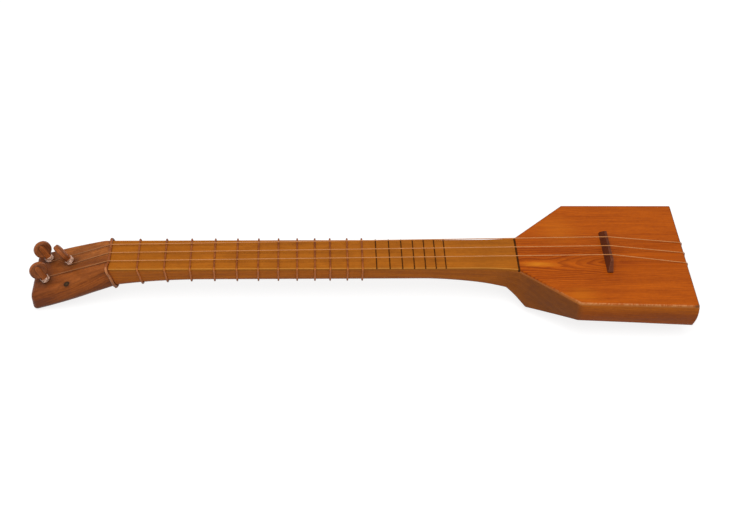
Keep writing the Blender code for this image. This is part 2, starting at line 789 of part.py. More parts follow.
def make_bridge():
    stations = [
        (-BRIDGE_LENGTH / 2, bridge_section(BRIDGE_END_HEIGHT)),
        (-BRIDGE_CREST_LENGTH / 2, bridge_section(BRIDGE_HEIGHT)),
        (BRIDGE_CREST_LENGTH / 2, bridge_section(BRIDGE_HEIGHT)),
        (BRIDGE_LENGTH / 2, bridge_section(BRIDGE_END_HEIGHT)),
    ]
    bridge = crossbar("bridge", stations, "dark_wood")
    crest = TOP_HEIGHT + CLEARANCE + BRIDGE_HEIGHT
    for number in range(3):
        y = (1 - number) * BRIDGE_SPACING
        half = STRING / 2 + CLEARANCE
        notch = block(
            f"notch_{number + 1}",
            (-BRIDGE_AHEAD - BRIDGE_FOOT, y - half, crest - NOTCH_DEPTH),
            (-BRIDGE_AHEAD + BRIDGE_FOOT, y + half, crest + BRIDGE_HEIGHT),
        )
        combine(bridge, add_cutter(f"notch_{number + 1}", notch), "DIFFERENCE")


# Pegs and tail pins

def peg_place(number):
    """Where the axis of a peg meets the face of the head."""
    if number == 1:
        x, y = NUT_X - MIDDLE_PEG_TO_NUT, MIDDLE_PEG_OFFSET
    else:
        x, y = NUT_X - OUTER_PEGS_TO_NUT, OUTER_PEGS_OFFSET + (1 - number) * OUTER_PEG_SPACING / 2
    return Vector((x, y, head_top(x)))


def peg_matrix(number):
    """Frame of a peg, with Z along its axis out of the head's face."""
    return Matrix.Translation(peg_place(number)) @ Matrix.Rotation(-peg_tilt(number), 4, "Y")


def peg_tilt(number):
    return TILT + math.radians(PEG_LEANS[number])


def peg_radius(height):
    return (PEG_DIAMETER + PEG_TAPER * height) / 2


def peg_reach(number):
    """Length of a peg below the face of the head, to just past its back."""
    place = peg_place(number)
    lean = LEAN * (1 - head_share(place.x))
    thickness = place.z - head_back(place.x, lean)
    return thickness * math.cos(TILT) + PEG_BACK


def make_peg(number, head):
    reach = peg_reach(number)
    shaft = turned(
        f"peg_{number + 1}",
        [(peg_radius(-reach), -reach), (peg_radius(PEG_DISC_LIFT), PEG_DISC_LIFT)],
    )
    peg = add_part(f"peg_{number + 1}", shaft, "peg_wood")
    peg.matrix_world = peg_matrix(number) @ Matrix.Rotation(math.radians(PEG_TURNS[number]), 4, "Z")

    across = PEG_DISC / 2 - PEG_DISC_ROUND
    up = PEG_DISC_THICKNESS / 2 - PEG_DISC_ROUND
    rim = quarter(across, -up, PEG_DISC_ROUND, -90) + quarter(across, up, PEG_DISC_ROUND, 0)
    tool = add_cutter(f"peg_disc_{number + 1}", turned(f"peg_disc_{number + 1}", rim))
    upright = Matrix.Translation((0, 0, PEG_DISC_LIFT)) @ Matrix.Rotation(math.pi / 2, 4, "Y")
    tool.matrix_world = peg.matrix_world @ upright
    combine(peg, tool, "UNION")

    bore = turned(
        f"peg_bore_{number + 1}",
        [
            (peg_radius(-2 * reach) + PEG_CLEARANCE, -2 * reach),
            (peg_radius(reach) + PEG_CLEARANCE, reach),
        ],
    )
    cutter = add_cutter(f"peg_bore_{number + 1}", bore)
    cutter.matrix_world = peg_matrix(number)
    combine(head, cutter, "DIFFERENCE")


def pin_matrix(number):
    """Frame of a tail pin, with Z along its axis out of the tail."""
    y = (1 - number) * TAIL_SPACING + pin_coil_radius()
    z = TOP_HEIGHT - PIN_DROP
    return Matrix.Translation((TAIL_X + wall_swell(z), y, z)) @ Matrix.Rotation(math.pi / 2, 4, "Y")


def pin_coil_radius():
    return PIN_DIAMETER / 2 + CLEARANCE + STRING / 2


def make_pin(number):
    mesh = turned(
        f"tail_pin_{number + 1}",
        [
            (PIN_DIAMETER / 2, -BODY_WALL),
            (PIN_DIAMETER / 2, PIN_NECK),
            (PIN_HEAD / 2, PIN_NECK),
            (PIN_HEAD / 2, PIN_NECK + PIN_HEAD_THICKNESS / 2),
            (PIN_DIAMETER / 2, PIN_NECK + PIN_HEAD_THICKNESS),
        ],
    )
    pin = add_part(f"tail_pin_{number + 1}", mesh, "pin_metal")
    pin.matrix_world = pin_matrix(number)


# Strings

def coil(frame, radius, start, turn, height, turns):
    """Points of a winding about Z of a frame, ending in a short straight run."""
    points = []
    steps = round(turns * LOOP_POINTS)
    for step in range(steps + 1):
        angle = start + turn * 2 * math.pi * step / LOOP_POINTS
        rise = height + COIL_PITCH * step / LOOP_POINTS
        points.append(frame @ Vector((radius * math.cos(angle), radius * math.sin(angle), rise)))
    run = (points[-1] - points[-2]).normalized() * STRING
    points.append(points[-1] + run)
    return points


def peg_coil(number, nut_point):
    """Winding of a string on its peg, starting where the string from the nut touches it."""
    frame = peg_matrix(number)
    radius = peg_radius(COIL_TOP) + CLEARANCE + STRING / 2
    local = frame.inverted() @ nut_point
    turn = -1 if number == 2 else 1
    start = math.atan2(local.y, local.x) - turn * math.acos(radius / math.hypot(local.x, local.y))
    return coil(frame, radius, start, -turn, COIL_LIFT, COIL_TURNS)


def string_route(number):
    """Points of a string from its peg over the nut and the bridge to its tail pin."""
    offset = 1 - number
    half = STRING / 2
    nut_radius = NUT_CORD / 2 + CLEARANCE + half
    nut_height = TOP_HEIGHT + CLEARANCE + NUT_CORD / 2
    over_nut = []
    for step in range(3):
        angle = math.pi / 2 + TILT * step / 2
        over_nut.append(Vector((
            NUT_X + nut_radius * math.cos(angle),
            offset * NUT_SPACING,
            nut_height + nut_radius * math.sin(angle),
        )))
    route = list(reversed(peg_coil(number, over_nut[-1])))
    route += reversed(over_nut)

    crest = TOP_HEIGHT + 2 * CLEARANCE + BRIDGE_HEIGHT - NOTCH_DEPTH + half
    for x in (-BRIDGE_AHEAD - BRIDGE_CREST / 2, -BRIDGE_AHEAD + BRIDGE_CREST / 2):
        route.append(Vector((x, offset * BRIDGE_SPACING, crest)))

    y = offset * TAIL_SPACING
    bend = EDGE_ROUND + CLEARANCE + half
    bend_z = TOP_HEIGHT - EDGE_ROUND
    bend_x = TAIL_X + wall_swell(bend_z) - EDGE_ROUND
    for step in range(4):
        angle = math.pi / 2 * (1 - step / 3)
        route.append(Vector((bend_x + bend * math.cos(angle), y, bend_z + bend * math.sin(angle))))
    for step in range(1, WALL_STEPS):
        z = bend_z + (TOP_HEIGHT - PIN_DROP - bend_z) * step / WALL_STEPS
        route.append(Vector((TAIL_X + wall_swell(z) + PIN_COIL_START, y, z)))
    route += coil(
        pin_matrix(number), pin_coil_radius(), -math.pi / 2, 1, PIN_COIL_START, PIN_TURNS)
    return route


def make_strings():
    for number in range(3):
        tube(f"string_{number + 1}", string_route(number), STRING, "string_nylon")


def make_instrument():
    head = make_head()
    make_neck()
    make_fingerboard()
    make_frets()
    make_body()
    make_soundboard()
    make_brace()
    make_bridge()
    for number in range(3):
        make_peg(number, head)
        make_pin(number)
    make_strings()


make_instrument()
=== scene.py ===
"""Looks of a three-string folk lute: varnished wood, tied frets, wound strings, soft studio light.

X runs from the head to the tail, Y across the strings to the far side and Z up, in metres.
X = 0 is the far end of the fret scale, and Z = 0 is the flat of the keel.
"""

import json
import math

import bmesh
import bpy
from mathutils import Matrix, Vector, noise


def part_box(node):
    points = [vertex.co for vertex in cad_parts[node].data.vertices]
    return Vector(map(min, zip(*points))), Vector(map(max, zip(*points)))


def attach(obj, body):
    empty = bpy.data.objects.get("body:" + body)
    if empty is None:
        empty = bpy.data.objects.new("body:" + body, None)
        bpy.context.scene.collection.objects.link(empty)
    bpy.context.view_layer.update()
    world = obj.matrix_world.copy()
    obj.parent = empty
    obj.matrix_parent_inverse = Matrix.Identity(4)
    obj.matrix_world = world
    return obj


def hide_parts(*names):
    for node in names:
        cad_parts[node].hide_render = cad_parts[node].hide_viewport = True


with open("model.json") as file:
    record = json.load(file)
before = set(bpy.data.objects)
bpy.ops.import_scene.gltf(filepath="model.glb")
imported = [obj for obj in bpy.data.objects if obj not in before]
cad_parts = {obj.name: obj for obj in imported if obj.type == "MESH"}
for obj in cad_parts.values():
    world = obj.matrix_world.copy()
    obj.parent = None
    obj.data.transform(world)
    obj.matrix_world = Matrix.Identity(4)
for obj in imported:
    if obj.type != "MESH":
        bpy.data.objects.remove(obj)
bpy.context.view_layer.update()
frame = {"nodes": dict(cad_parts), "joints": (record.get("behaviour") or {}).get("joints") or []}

# View of the photograph
IMAGE_WIDTH = 730
FOCAL_PIXELS = 1207.8  # focal length, in pixels of the image
SENSOR = 36.0
CAMERA_PLACE = (-0.3332, -0.9077, 0.9973)
CAMERA_PITCH = math.radians(46.43)  # below the horizon
CAMERA_YAW = math.radians(4.22)  # to the right of +Y
CAMERA_ROLL = math.radians(2.85)

# Light and floor
LAMP_PLACE = Vector((-0.40, -0.75, 2.0))
LAMP_TARGET = Vector((-0.27, 0.0, 0.0))
LAMP_SIZE = (1.6, 1.2)
LAMP_POWER = 30.0
WORLD_LIGHT = 0.42
WHITE = (1.0, 1.0, 1.0)
FLOOR_RADIUS = 40.0
FLOOR_COLOUR = (0.28, 0.28, 0.28)
FLOOR_LIFT = 0.83  # added to the floor where it is looked at, so that it is white

# Places, most of them read from the frame
CLEARANCE = 0.0003  # gap that the frame leaves between pieces that touch
SEAT = 0.00002  # gap that is left between them here
BOARD_LOW, BOARD_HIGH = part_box("fingerboard")
BODY_LOW, BODY_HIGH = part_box("body_shell")
STRIP_LOW, STRIP_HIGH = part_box("joint_strip")
BRIDGE_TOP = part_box("bridge")[1].z
TOP = BOARD_HIGH.z
RIM = BODY_HIGH.z
BOARD_UNDERSIDE = RIM + CLEARANCE
NUT_X = BOARD_LOW.x - CLEARANCE
SEAM_X = BODY_LOW.x
WALL_SWELL = 0.0015  # swelling of the body's side and tail between their edges
WALL_HEIGHT = 0.030
TAIL_X = BODY_HIGH.x - WALL_SWELL
SCALE_LENGTH = -NUT_X
HEAD_END_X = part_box("head")[0].x
HEAD_LENGTH = NUT_X - HEAD_END_X

# Neck
NECK_WIDTH = 0.0432
NECK_DEPTH = 0.0204  # playing face to the back
NECK_ROUND = 0.0070
NUT_DEPTH = 0.0280
NUT_SWELL = 0.100  # stretch in which the neck deepens towards the nut
NUT_LEAN = math.tan(math.radians(14.0))  # slope of its seam with the head
HEEL_DEPTH = 0.0305
HEEL_SWELL = 0.088  # stretch in which it deepens towards the body
HEEL_ROUND = 0.0022
JOINT_X = -0.1013  # where it has flared to the joint's width
JOINT_WIDTH = 0.0484
FLARE_LENGTH = 0.045

# Head
HEAD_TILT = math.radians(21.5)
HEAD_BEND = 0.030  # radius of the bend in its face past the nut
HEAD_BLEND = 0.025  # stretch past the nut in which its edges take up their own radii
HEAD_END_WIDTH = 0.0616
HEAD_BULGE = 0.0025  # swelling of each side between the nut and the end
HEAD_FAR_ROUND = 0.0025
HEAD_NEAR_ROUND = 0.0075
HEAD_BACK_ROUND = 0.0100
HEAD_END_ROUND = 0.0045
HEAD_END_LIFT = 0.0003  # height of its back at the end
NUT_EDGE_ROUND = 0.0016
CARVING = 0.00016  # depth of the unevenness that the knife left
CARVING_SCALE = Vector((70.0, 130.0, 130.0))

# Boards and bridge
BOARD_ROUND = 0.0008  # playing edges of the fingerboard
STRIP_SUNK = 0.0003  # the dark strip is worn down this far below the boards
STRIP_ROUND = 0.0004
BRIDGE_ROUND = 0.00028
BRIDGE_SHARP = math.radians(15)  # edges that turn by more than this are rounded
BRIDGE_CREST_X = -0.0020
BRIDGE_CREST = 0.0028  # thickness of the crest, along the strings
NOTCH_DEPTH = 0.0010
RIM_FACE = 0.0013  # faces narrower than these belong to a rounded edge
STRIP_FACE = 0.0004
BRIDGE_FACE = 0.0003

# Frets
TIED_FRETS = 12
INLAID_FRETS = 7
SEMITONES = 12  # frets in an octave
MOVED_FRET = 10
MOVED_FRET_SHIFT = -0.0016  # it has slipped towards the nut
NUT_CORD = 0.0028
FRET_CORD = 0.0019
NUT_CORD_BEND = 0.0064  # radius of a cord's bend over the edge of the board
FRET_CORD_BEND = 0.0024
BEND_REACH = 0.0080  # stretch beside an edge in which a bent cord stands off the wood
NUT_CORD_SLIP = 0.0021  # the nut cord has slipped this far onto the head at the near edge
SLIP_START = 0.0040  # it lies straight up to this far from the middle
SLIP_SPREAD = 0.22  # widening of the head there, of the slip
KNOT_TURNS = 3.25
KNOT_POINTS = 20  # points in one turn of the knot
KNOT_PITCH = 1.02  # these four are shares of the cord's thickness
KNOT_RADIUS = 1.04
KNOT_BEND = 1.2
KNOT_LEAD = 3.0
KNOT_RISE = 0.35  # rise of the cord at its bend, of the knot's radius
INLAY_WIDTH = 0.00126  # fills its slot
INLAY_DEPTH = 0.0015
INLAY_PROUD = 0.0005

# Strings, pegs and pins, from the far side to the near side
STRING = 0.0009
STRING_LEAD = 0.0036  # straight stretch beside the winding
NUT_SPACING = 0.0122
BRIDGE_SPACING = 0.0135
TAIL_SPACING = 0.0154
EDGE_ROUND = 0.0016  # radius of the tail edge that the strings bend over
PEG_BODIES = ("far_peg", "middle_peg", "near_peg")
PEG_JOINTS = [joint for body in PEG_BODIES for joint in frame["joints"] if joint["child"] == body]
PEG_DIAMETER = 0.0074
PEG_TAPER = 0.045  # growth in diameter along a peg, out of the head
PEG_END_BEVEL = 0.0005
PEG_DISC = 0.0193
PEG_DISC_THICKNESS = 0.0066
PEG_DISC_ROUND = 0.0021
PEG_DISH = 0.0005  # hollow of the disc's two faces
PEG_DISH_EDGE = PEG_DISC / 6  # width of the slope into the hollow
PEG_RIDGE = 0.96  # reach of the shaft past the middle of the disc, of its radius
PEG_DISC_LIFT = 0.01745  # middle of the disc above the face of the head
PEG_TURNS = (-57.0, 30.0, -57.0)  # degrees by which each disc is turned about its peg
PEG_RIDGE_BLUNT = 3.6  # 2 is an oval end
PEG_RIM_WEAR = 0.0022  # half the width of the worn rim
PEG_CREASE = 0.0013  # width of the dirt and painted shade beside the ridge
PEG_CREASE_SHIFT = 0.3  # it is thickest this far from the ridge, of its width
PEG_CELL = 0.00025  # size of the cells that blend the disc into the shaft
PEG_GRAIN_SHIFT = 0.03  # each peg is cut this much further across the same wood
COIL_LIFT = 0.0016  # foot of the winding above the face of the head
COIL_HEIGHT = 0.0049
COIL_TURNS = 4.0
COIL_POINTS = 48  # points in one turn
COIL_REACH = 1.2  # a string is wound up within this from its peg, of its thickness
PIN_DIAMETER = 0.0040
PIN_HEAD = 0.0066
PIN_HEAD_THICKNESS = 0.0018
PIN_HEAD_EDGE = 0.0002
PIN_FILLET = 0.0004
PIN_NECK = 0.00325  # from the tail to the head of the pin
PIN_DEPTH = 0.006  # in the wood
PIN_DROP = 0.0180  # below the top
PIN_TURNS = 1.25
PIN_PITCH = 0.0014

# Fineness
CORNER_STEPS = 10
STATION_STEP = 0.003
CORD_SIDES = 12
CORD_TIP = 0.05  # smallest thickness at the rounded end of a cord, of the whole
PEG_SIDES = 64
PIN_SIDES = 48
MERGE = 0.000002  # points closer than this are one
FLAT = math.radians(0.3)  # faces that turn by less than this are one
# Rows of points along a peg's ridge, its dish and the tip of a cord, closer where they bend
RIDGE_SHARES = (0.2, 0.4, 0.55, 0.68, 0.78, 0.86, 0.92, 0.96, 0.99)
DISH_SHARES = (0.35, 0.7, 1.0)
TIP_SHARES = (0.0, 0.02, 0.08, 0.2, 0.4, 0.7, 1.0)


# Camera, light and floor

def placed(name, data):
    """A new object in the scene."""
    thing = bpy.data.objects.new(name, data)
    bpy.context.scene.collection.objects.link(thing)
    return thing


def make_camera():
    camera = bpy.data.cameras.new("camera")
    camera.sensor_width = SENSOR
    camera.lens = FOCAL_PIXELS * SENSOR / IMAGE_WIDTH
    camera.clip_start = 0.01
    turn = Matrix.Rotation(-CAMERA_YAW, 4, "Z") @ Matrix.Rotation(math.pi / 2 - CAMERA_PITCH, 4, "X")
    stand = placed("camera", camera)
    stand.matrix_world = Matrix.Translation(CAMERA_PLACE) @ turn @ Matrix.Rotation(CAMERA_ROLL, 4, "Z")
    bpy.context.scene.camera = stand


def make_light():
    lamp = bpy.data.lights.new("overhead", "AREA")
    lamp.shape = "RECTANGLE"
    lamp.size, lamp.size_y = LAMP_SIZE
    lamp.energy = LAMP_POWER
    stand = placed("overhead", lamp)
    stand.location = LAMP_PLACE
    stand.rotation_euler = (LAMP_TARGET - LAMP_PLACE).to_track_quat("-Z", "Y").to_euler()

    world = bpy.data.worlds.new("studio")
    world.use_nodes = True
    background = world.node_tree.nodes["Background"].inputs
    background["Color"].default_value = (*WHITE, 1.0)
    background["Strength"].default_value = WORLD_LIGHT
    bpy.context.scene.world = world


def make_floor():
    bm = bmesh.new()
    bmesh.ops.create_circle(bm, cap_ends=True, segments=96, radius=FLOOR_RADIUS)
    floor = placed("floor", stored(bm, "floor"))
    nodes = Finish("pale_floor")
    nodes.tree.nodes.remove(nodes.tree.nodes["Principled BSDF"])
    path = nodes.outputs("ShaderNodeLightPath")
    looked_at = path["Is Camera Ray"].most(path["Is Glossy Ray"]).most(path["Is Transmission Ray"])
    matt = nodes.value("ShaderNodeBsdfDiffuse", {"Color": FLOOR_COLOUR})
    glow = nodes.value("ShaderNodeEmission", {"Color": WHITE, "Strength": looked_at * FLOOR_LIFT})
    both = nodes.value("ShaderNodeAddShader", {0: matt, 1: glow})
    nodes.feed(nodes.tree.nodes["Material Output"].inputs["Surface"], both)
    floor.data.materials.append(nodes.material)


# Node trees

class Value:
    """What a node puts out. Sums, products and the like are nodes of their own."""

    def __init__(self, nodes, socket):
        self.nodes = nodes
        self.socket = socket

    def math(self, operation, other=0.0, clamp=False):
        return self.nodes.value("ShaderNodeMath", {0: self, 1: other}, operation=operation, use_clamp=clamp)

    def __add__(self, other):
        return self.math("ADD", other)

    def __sub__(self, other):
        return self.math("SUBTRACT", other)

    def __rsub__(self, first):
        return self.nodes.value("ShaderNodeMath", {0: first, 1: self}, operation="SUBTRACT")

    def __mul__(self, other):
        return self.math("MULTIPLY", other)

    def __truediv__(self, other):
        return self.math("DIVIDE", other)

    def most(self, other):
        return self.math("MAXIMUM", other)

    def vector(self, operation, other):
        return self.nodes.value("ShaderNodeVectorMath", {0: self, 1: other}, operation=operation)

    def parts(self):
        return self.nodes.outputs("ShaderNodeSeparateXYZ", {0: self}).values()

    def mix(self, first, second):
        """A colour that is this share of the way from the first to the second."""
        return self.nodes.mix(self, first, second, "MIX")

    def toned(self, tone):
        """A colour times another."""
        return self.nodes.mix(1.0, self, tone, "MULTIPLY")

    def ramp(self, low, high, start=0.0, end=1.0):
        """A smooth step from start to end while the value goes from low to high."""
        inputs = {"Value": self, "From Min": low, "From Max": high, "To Min": start, "To Max": end}
        return self.nodes.value("ShaderNodeMapRange", inputs, interpolation_type="SMOOTHSTEP")

    def noise(self, scale, detail=3.0, roughness=0.55, distortion=0.0):
        """Noise at a place, with one scale, or with a scale along X and another across it."""
        place = self
        if isinstance(scale, tuple):
            along, across = scale
            place = self.vector("MULTIPLY", (along, across, across))
            scale = 1.0
        inputs = {
            "Vector": place, "Scale": scale, "Detail": detail,
            "Roughness": roughness, "Distortion": distortion,
        }
        return self.nodes.value("ShaderNodeTexNoise", inputs)

    def bump(self, strength, distance):
        inputs = {"Height": self, "Strength": strength, "Distance": distance}
        return self.nodes.value("ShaderNodeBump", inputs)


class Nodes:
    """A node tree, with short words for adding nodes and linking them."""

    def __init__(self, tree):
        self.tree = tree

    def feed(self, socket, value):
        if isinstance(value, Value):
            self.tree.links.new(value.socket, socket)
        else:
            socket.default_value = (*value, 1.0) if socket.type == "RGBA" else value

    def add(self, kind, inputs=None, **settings):
        node = self.tree.nodes.new(kind)
        count = len(self.tree.nodes)
        node.location = (180 * count, -220 * (count % 5))  # apart, for whoever opens the tree
        for name, setting in settings.items():
            setattr(node, name, setting)
        for socket, value in (inputs or {}).items():
            self.feed(node.inputs[socket], value)
        return node

    def value(self, kind, inputs=None, output=0, **settings):
        """Add a node and give one of its outputs."""
        return Value(self, self.add(kind, inputs, **settings).outputs[output])

    def outputs(self, kind, inputs=None, **settings):
        """Add a node and give all its outputs by name."""
        sockets = self.add(kind, inputs, **settings).outputs
        return {socket.name: Value(self, socket) for socket in sockets}

    def mix(self, share, first, second, blend):
        """Mix two colours. Sockets 6 and 7 of the node take them, and its output 2 is a colour."""
        inputs = {0: share, 6: first, 7: second}
        return self.value("ShaderNodeMix", inputs, 2, data_type="RGBA", blend_type=blend)

    def group(self, tree, inputs):
        return self.outputs("ShaderNodeGroup", inputs, node_tree=tree).values()

    def place(self):
        return self.value("ShaderNodeTexCoord", output="Object")

    def height(self):
        _, _, height = self.place().parts()
        return height

    def attribute(self, name, kind="Fac"):
        return self.value("ShaderNodeAttribute", output=kind, attribute_name=name)


class Finish(Nodes):
    """The nodes of a new material."""

    def __init__(self, name):
        self.material = bpy.data.materials.new(name)
        self.material.use_nodes = True
        super().__init__(self.material.node_tree)

    def dress(self, colour, roughness, normal, others):
        """Feed the material's shader, and give the material."""
        shader = self.tree.nodes["Principled BSDF"].inputs
        values = {"Base Color": colour, "Roughness": roughness, "Normal": normal, **others}
        for socket, value in values.items():
            self.feed(shader[socket], value)
        return self.material


# Sockets that don't hold a plain number
SOCKET_KINDS = {
    "Place": "Vector", "Pith": "Vector", "Path": "Geometry", "Cord": "Geometry",
    "Sides": "Int", "Finish": "Material",
}


def node_group(name, inputs, outputs, kind="ShaderNodeTree"):
    """A node group with named sockets; gives its nodes, its inputs and what it puts out."""
    tree = bpy.data.node_groups.new(name, kind)
    for in_out, sockets in (("INPUT", inputs), ("OUTPUT", outputs)):
        for socket in sockets:
            socket_type = "NodeSocket" + SOCKET_KINDS.get(socket, "Float")
            tree.interface.new_socket(socket, in_out=in_out, socket_type=socket_type)
    nodes = Nodes(tree)
    return nodes, nodes.outputs("NodeGroupInput"), nodes.add("NodeGroupOutput").inputs


def make_growth_rings():
    """Yearly rings about a pith along X that dips to both sides of one place and rises towards another."""
    nodes, given, out = node_group(
        "growth_rings", ["Place", "Pith", "Dip", "Rise", "Rise Start", "Rise End", "Ring Width", "Wander"],
        ["Late Wood", "Band", "Reach"])
    place = given["Place"]
    slow = place.noise((14.0, 60.0), 3.0, 0.5) - 0.5
    crooked = place.noise((85.0, 210.0), 2.0) - 0.5
    drift = (slow + crooked * 0.14) * given["Wander"]
    along, across, above = place.vector("SUBTRACT", given["Pith"]).parts()
    dip = along.math("ABSOLUTE").math("POWER", 0.85) * given["Dip"]
    rise = along.ramp(given["Rise Start"], given["Rise End"], given["Rise"], 0.0)
    depth = above + dip + rise
    radius = (across * across + depth * depth).math("SQRT") + drift
    ring = radius / given["Ring Width"]
    share = ring.math("FRACT")
    inputs = {"W": ring, "Scale": 0.31, "Detail": 3.0}
    band = nodes.value("ShaderNodeTexNoise", inputs, noise_dimensions="1D")
    nodes.feed(out["Late Wood"], share.ramp(0.25, 0.86) * share.ramp(0.86, 1.0, 1.0, 0.0))
    nodes.feed(out["Band"], band.ramp(0.3, 0.7))
    nodes.feed(out["Reach"], radius)
    return nodes.tree


def make_fibres():
    """Streaks of fibre along X, short dark pores, broad clouds of colour and a fine mottle."""
    nodes, given, out = node_group(
        "fibres", ["Place", "Fineness"], ["Streaks", "Pores", "Clouds", "Mottle"])
    inputs = {0: given["Place"], "Scale": given["Fineness"]}
    place = nodes.value("ShaderNodeVectorMath", inputs, operation="SCALE")
    fine = place.noise((30.0, 760.0), 4.0, 0.62)
    coarse = place.noise((9.0, 210.0), 3.0, 0.5, 0.4)
    nodes.feed(out["Streaks"], (fine * 0.55 + coarse * 0.45).ramp(0.38, 0.62))
    nodes.feed(out["Pores"], place.noise((130.0, 1900.0), 2.0).ramp(0.58, 0.70))
    nodes.feed(out["Clouds"], place.noise((20.0, 46.0), 3.0, 0.6, 0.6).ramp(0.34, 0.66))
    nodes.feed(out["Mottle"], place.noise((190.0, 330.0), 3.0, 0.6, 0.8).ramp(0.34, 0.66))
    return nodes.tree


def make_edge_wear_and_highlight():
    """Breaks up the marked edges of a piece on the near side into rubbed patches and dashes: wear, and a
    painted highlight along the rounded edge.
    """
    nodes, given, out = node_group("rubbed_edge", ["Place", "Edge", "Amount"], ["Rubbed"])
    place, amount = given["Place"], given["Amount"]
    both = place.noise((620.0, 240.0), 2.0) + place.noise((34.0, 60.0), 2.0)
    broken = (both - (1.55 - amount)).math("MULTIPLY", 4.0, clamp=True)
    _, across, _ = place.parts()
    broken = (broken * 0.7 + amount * 0.3) * across.ramp(-0.010, 0.0, 1.0, 0.0)
    nodes.feed(out["Rubbed"], given["Edge"].ramp(0.35, 0.9) * broken)
    return nodes.tree


GROWTH_RINGS = make_growth_rings()
FIBRES = make_fibres()
EDGE_WEAR_AND_HIGHLIGHT = make_edge_wear_and_highlight()


# Woods

def wood(name, pale, deep, late, rubbed, pith, ring, figure, wander, roughness,
         dip=0.05, rise=(0.0, 0.0, 0.05), fade=1.0, quiet=None, pores=0.35, fineness=1.0,
         wear_and_highlight=0.0, rubbed_lit_strength=0.6, line=None, shine=0.12, own_grain=False, stains=()):
    """A varnished wood. Its grain follows the piece's own grain attribute, or else its place, in metres."""
    nodes = Finish(name)
    place = nodes.attribute("grain", "Vector") if own_grain else nodes.place()
    along, across, _ = place.parts()
    edge = nodes.attribute("edge")
    late_wood, band, reach = nodes.group(GROWTH_RINGS, {
        "Place": place, "Pith": pith, "Dip": dip, "Ring Width": ring, "Wander": wander,
        "Rise": rise[0], "Rise Start": rise[1], "Rise End": rise[2],
    })
    streaks, holes, clouds, mottle = nodes.group(FIBRES, {"Place": place, "Fineness": fineness})
    [worn_and_lit] = nodes.group(EDGE_WEAR_AND_HIGHLIGHT, {"Place": place, "Edge": edge, "Amount": wear_and_highlight})

    colour = (band * 0.20 + streaks * 0.40 + clouds * 0.20 + mottle * 0.20).mix(deep, pale)
    lines = late_wood * figure * band.ramp(0.0, 1.0, 1.0, 0.45) * reach.ramp(0.020, 0.046, 1.0, fade)
    if quiet:
        lines = lines * along.ramp(*quiet, 1.0, 0.5)
    colour = (holes * pores).mix(lines.mix(colour, late), late)
    for stain in stains:
        colour = stain(nodes, colour)
    # line: a painted shade line along the far and tail edges of the board
    if line:
        away = across.ramp(-0.004, 0.010).most(along.ramp(TAIL_X - 0.007, TAIL_X - 0.003))
        colour = (away * (edge * 0.8)).mix(colour, line)
    # near-side edges painted paler in the rubbed colour: wear, and a painted highlight on the rounded edge
    colour = (worn_and_lit * rubbed_lit_strength).mix(colour, rubbed)
    gloss = (streaks - 0.5) * 0.14 + roughness + worn_and_lit * 0.12
    height = streaks + late_wood * 0.5 - holes * 0.8
    return nodes.dress(colour, gloss, height.bump(0.12, 0.0002), {"Specular IOR Level": shine})


def far_from(nodes, centre, size):
    """Distance from a centre in the level plane, where 1 is the edge of an oval of a size."""
    offset = nodes.place().vector("SUBTRACT", (*centre, 0.0)).vector("DIVIDE", (*size, 1.0))
    flat = offset.vector("MULTIPLY", (1.0, 1.0, 0.0))
    return nodes.value("ShaderNodeVectorMath", {0: flat}, "Value", operation="LENGTH")


WOOD_KNOT_PLACE = (-0.5857, -0.0258)
WOOD_KNOT_SIZE = (0.0034, 0.0023)
WOOD_KNOT_LAYERS = (
    # halo, dark ring and heart: where each starts to fade and ends, its strength and its colour
    (0.9, 2.0, 0.35, (0.12, 0.036, 0.012)),
    (0.75, 1.15, 0.94, (0.030, 0.016, 0.008)),
    (0.15, 0.6, 0.5, (0.10, 0.062, 0.022)),
)


def wood_knot(nodes, colour):
    """A small dark knot with a paler heart, on the near edge of the head."""
    upper = nodes.height().ramp(0.022, 0.026)
    reach = far_from(nodes, WOOD_KNOT_PLACE, WOOD_KNOT_SIZE) + (nodes.place().noise(900.0) - 0.5) * 0.5
    for inner, outer, strength, tint in WOOD_KNOT_LAYERS:
        colour = (reach.ramp(inner, outer, strength, 0.0) * upper).mix(colour, tint)
    return colour


def peg_grime_and_shade(nodes, colour):
    """Dirt that fingers leave round the pegs, together with painted shade where the pegs and windings shade
    the head.
    """
    for joint in PEG_JOINTS:
        reach = far_from(nodes, joint["pos_m"][:2], (0.0085, 0.0085)) + nodes.place().noise(160.0) * 0.9
        # darkened round each peg: dirt, and painted shade under the windings
        colour = reach.ramp(0.8, 1.9, 0.50, 0.0).mix(colour, (0.055, 0.026, 0.014))
    return colour


def head_tone_and_painted_light(nodes, colour):
    """The head is painted darker towards its end as shade, and its far edge is paler; on its near side,
    painted light lifts the top and painted shade darkens the lower part.
    """
    along, across, _ = nodes.place().parts()
    # painted shade on the end of the head
    end = along.ramp(HEAD_END_X + 0.006, HEAD_END_X + 0.046, 1.0, 0.0)
    tone = across.ramp(-0.014, 0.014).mix((1.0, 0.92, 0.80), (1.48, 1.58, 1.50))
    colour = colour.toned(end.mix(tone, (0.66, 0.58, 0.62)))
    _, _, depth = nodes.attribute("grain", "Vector").parts()
    # painted light high on the near side and painted shade low on it, where the lamp lights the side less
    # than the top
    side = depth.ramp(TOP - 0.022, TOP - 0.006).mix((0.76, 0.74, 0.82), (1.36, 1.28, 1.06))
    near = depth.ramp(TOP - 0.0065, TOP - 0.0015, 1.0, 0.0) * across.ramp(-0.016, -0.008, 1.0, 0.0)
    return near.mix(colour, colour.toned(side))


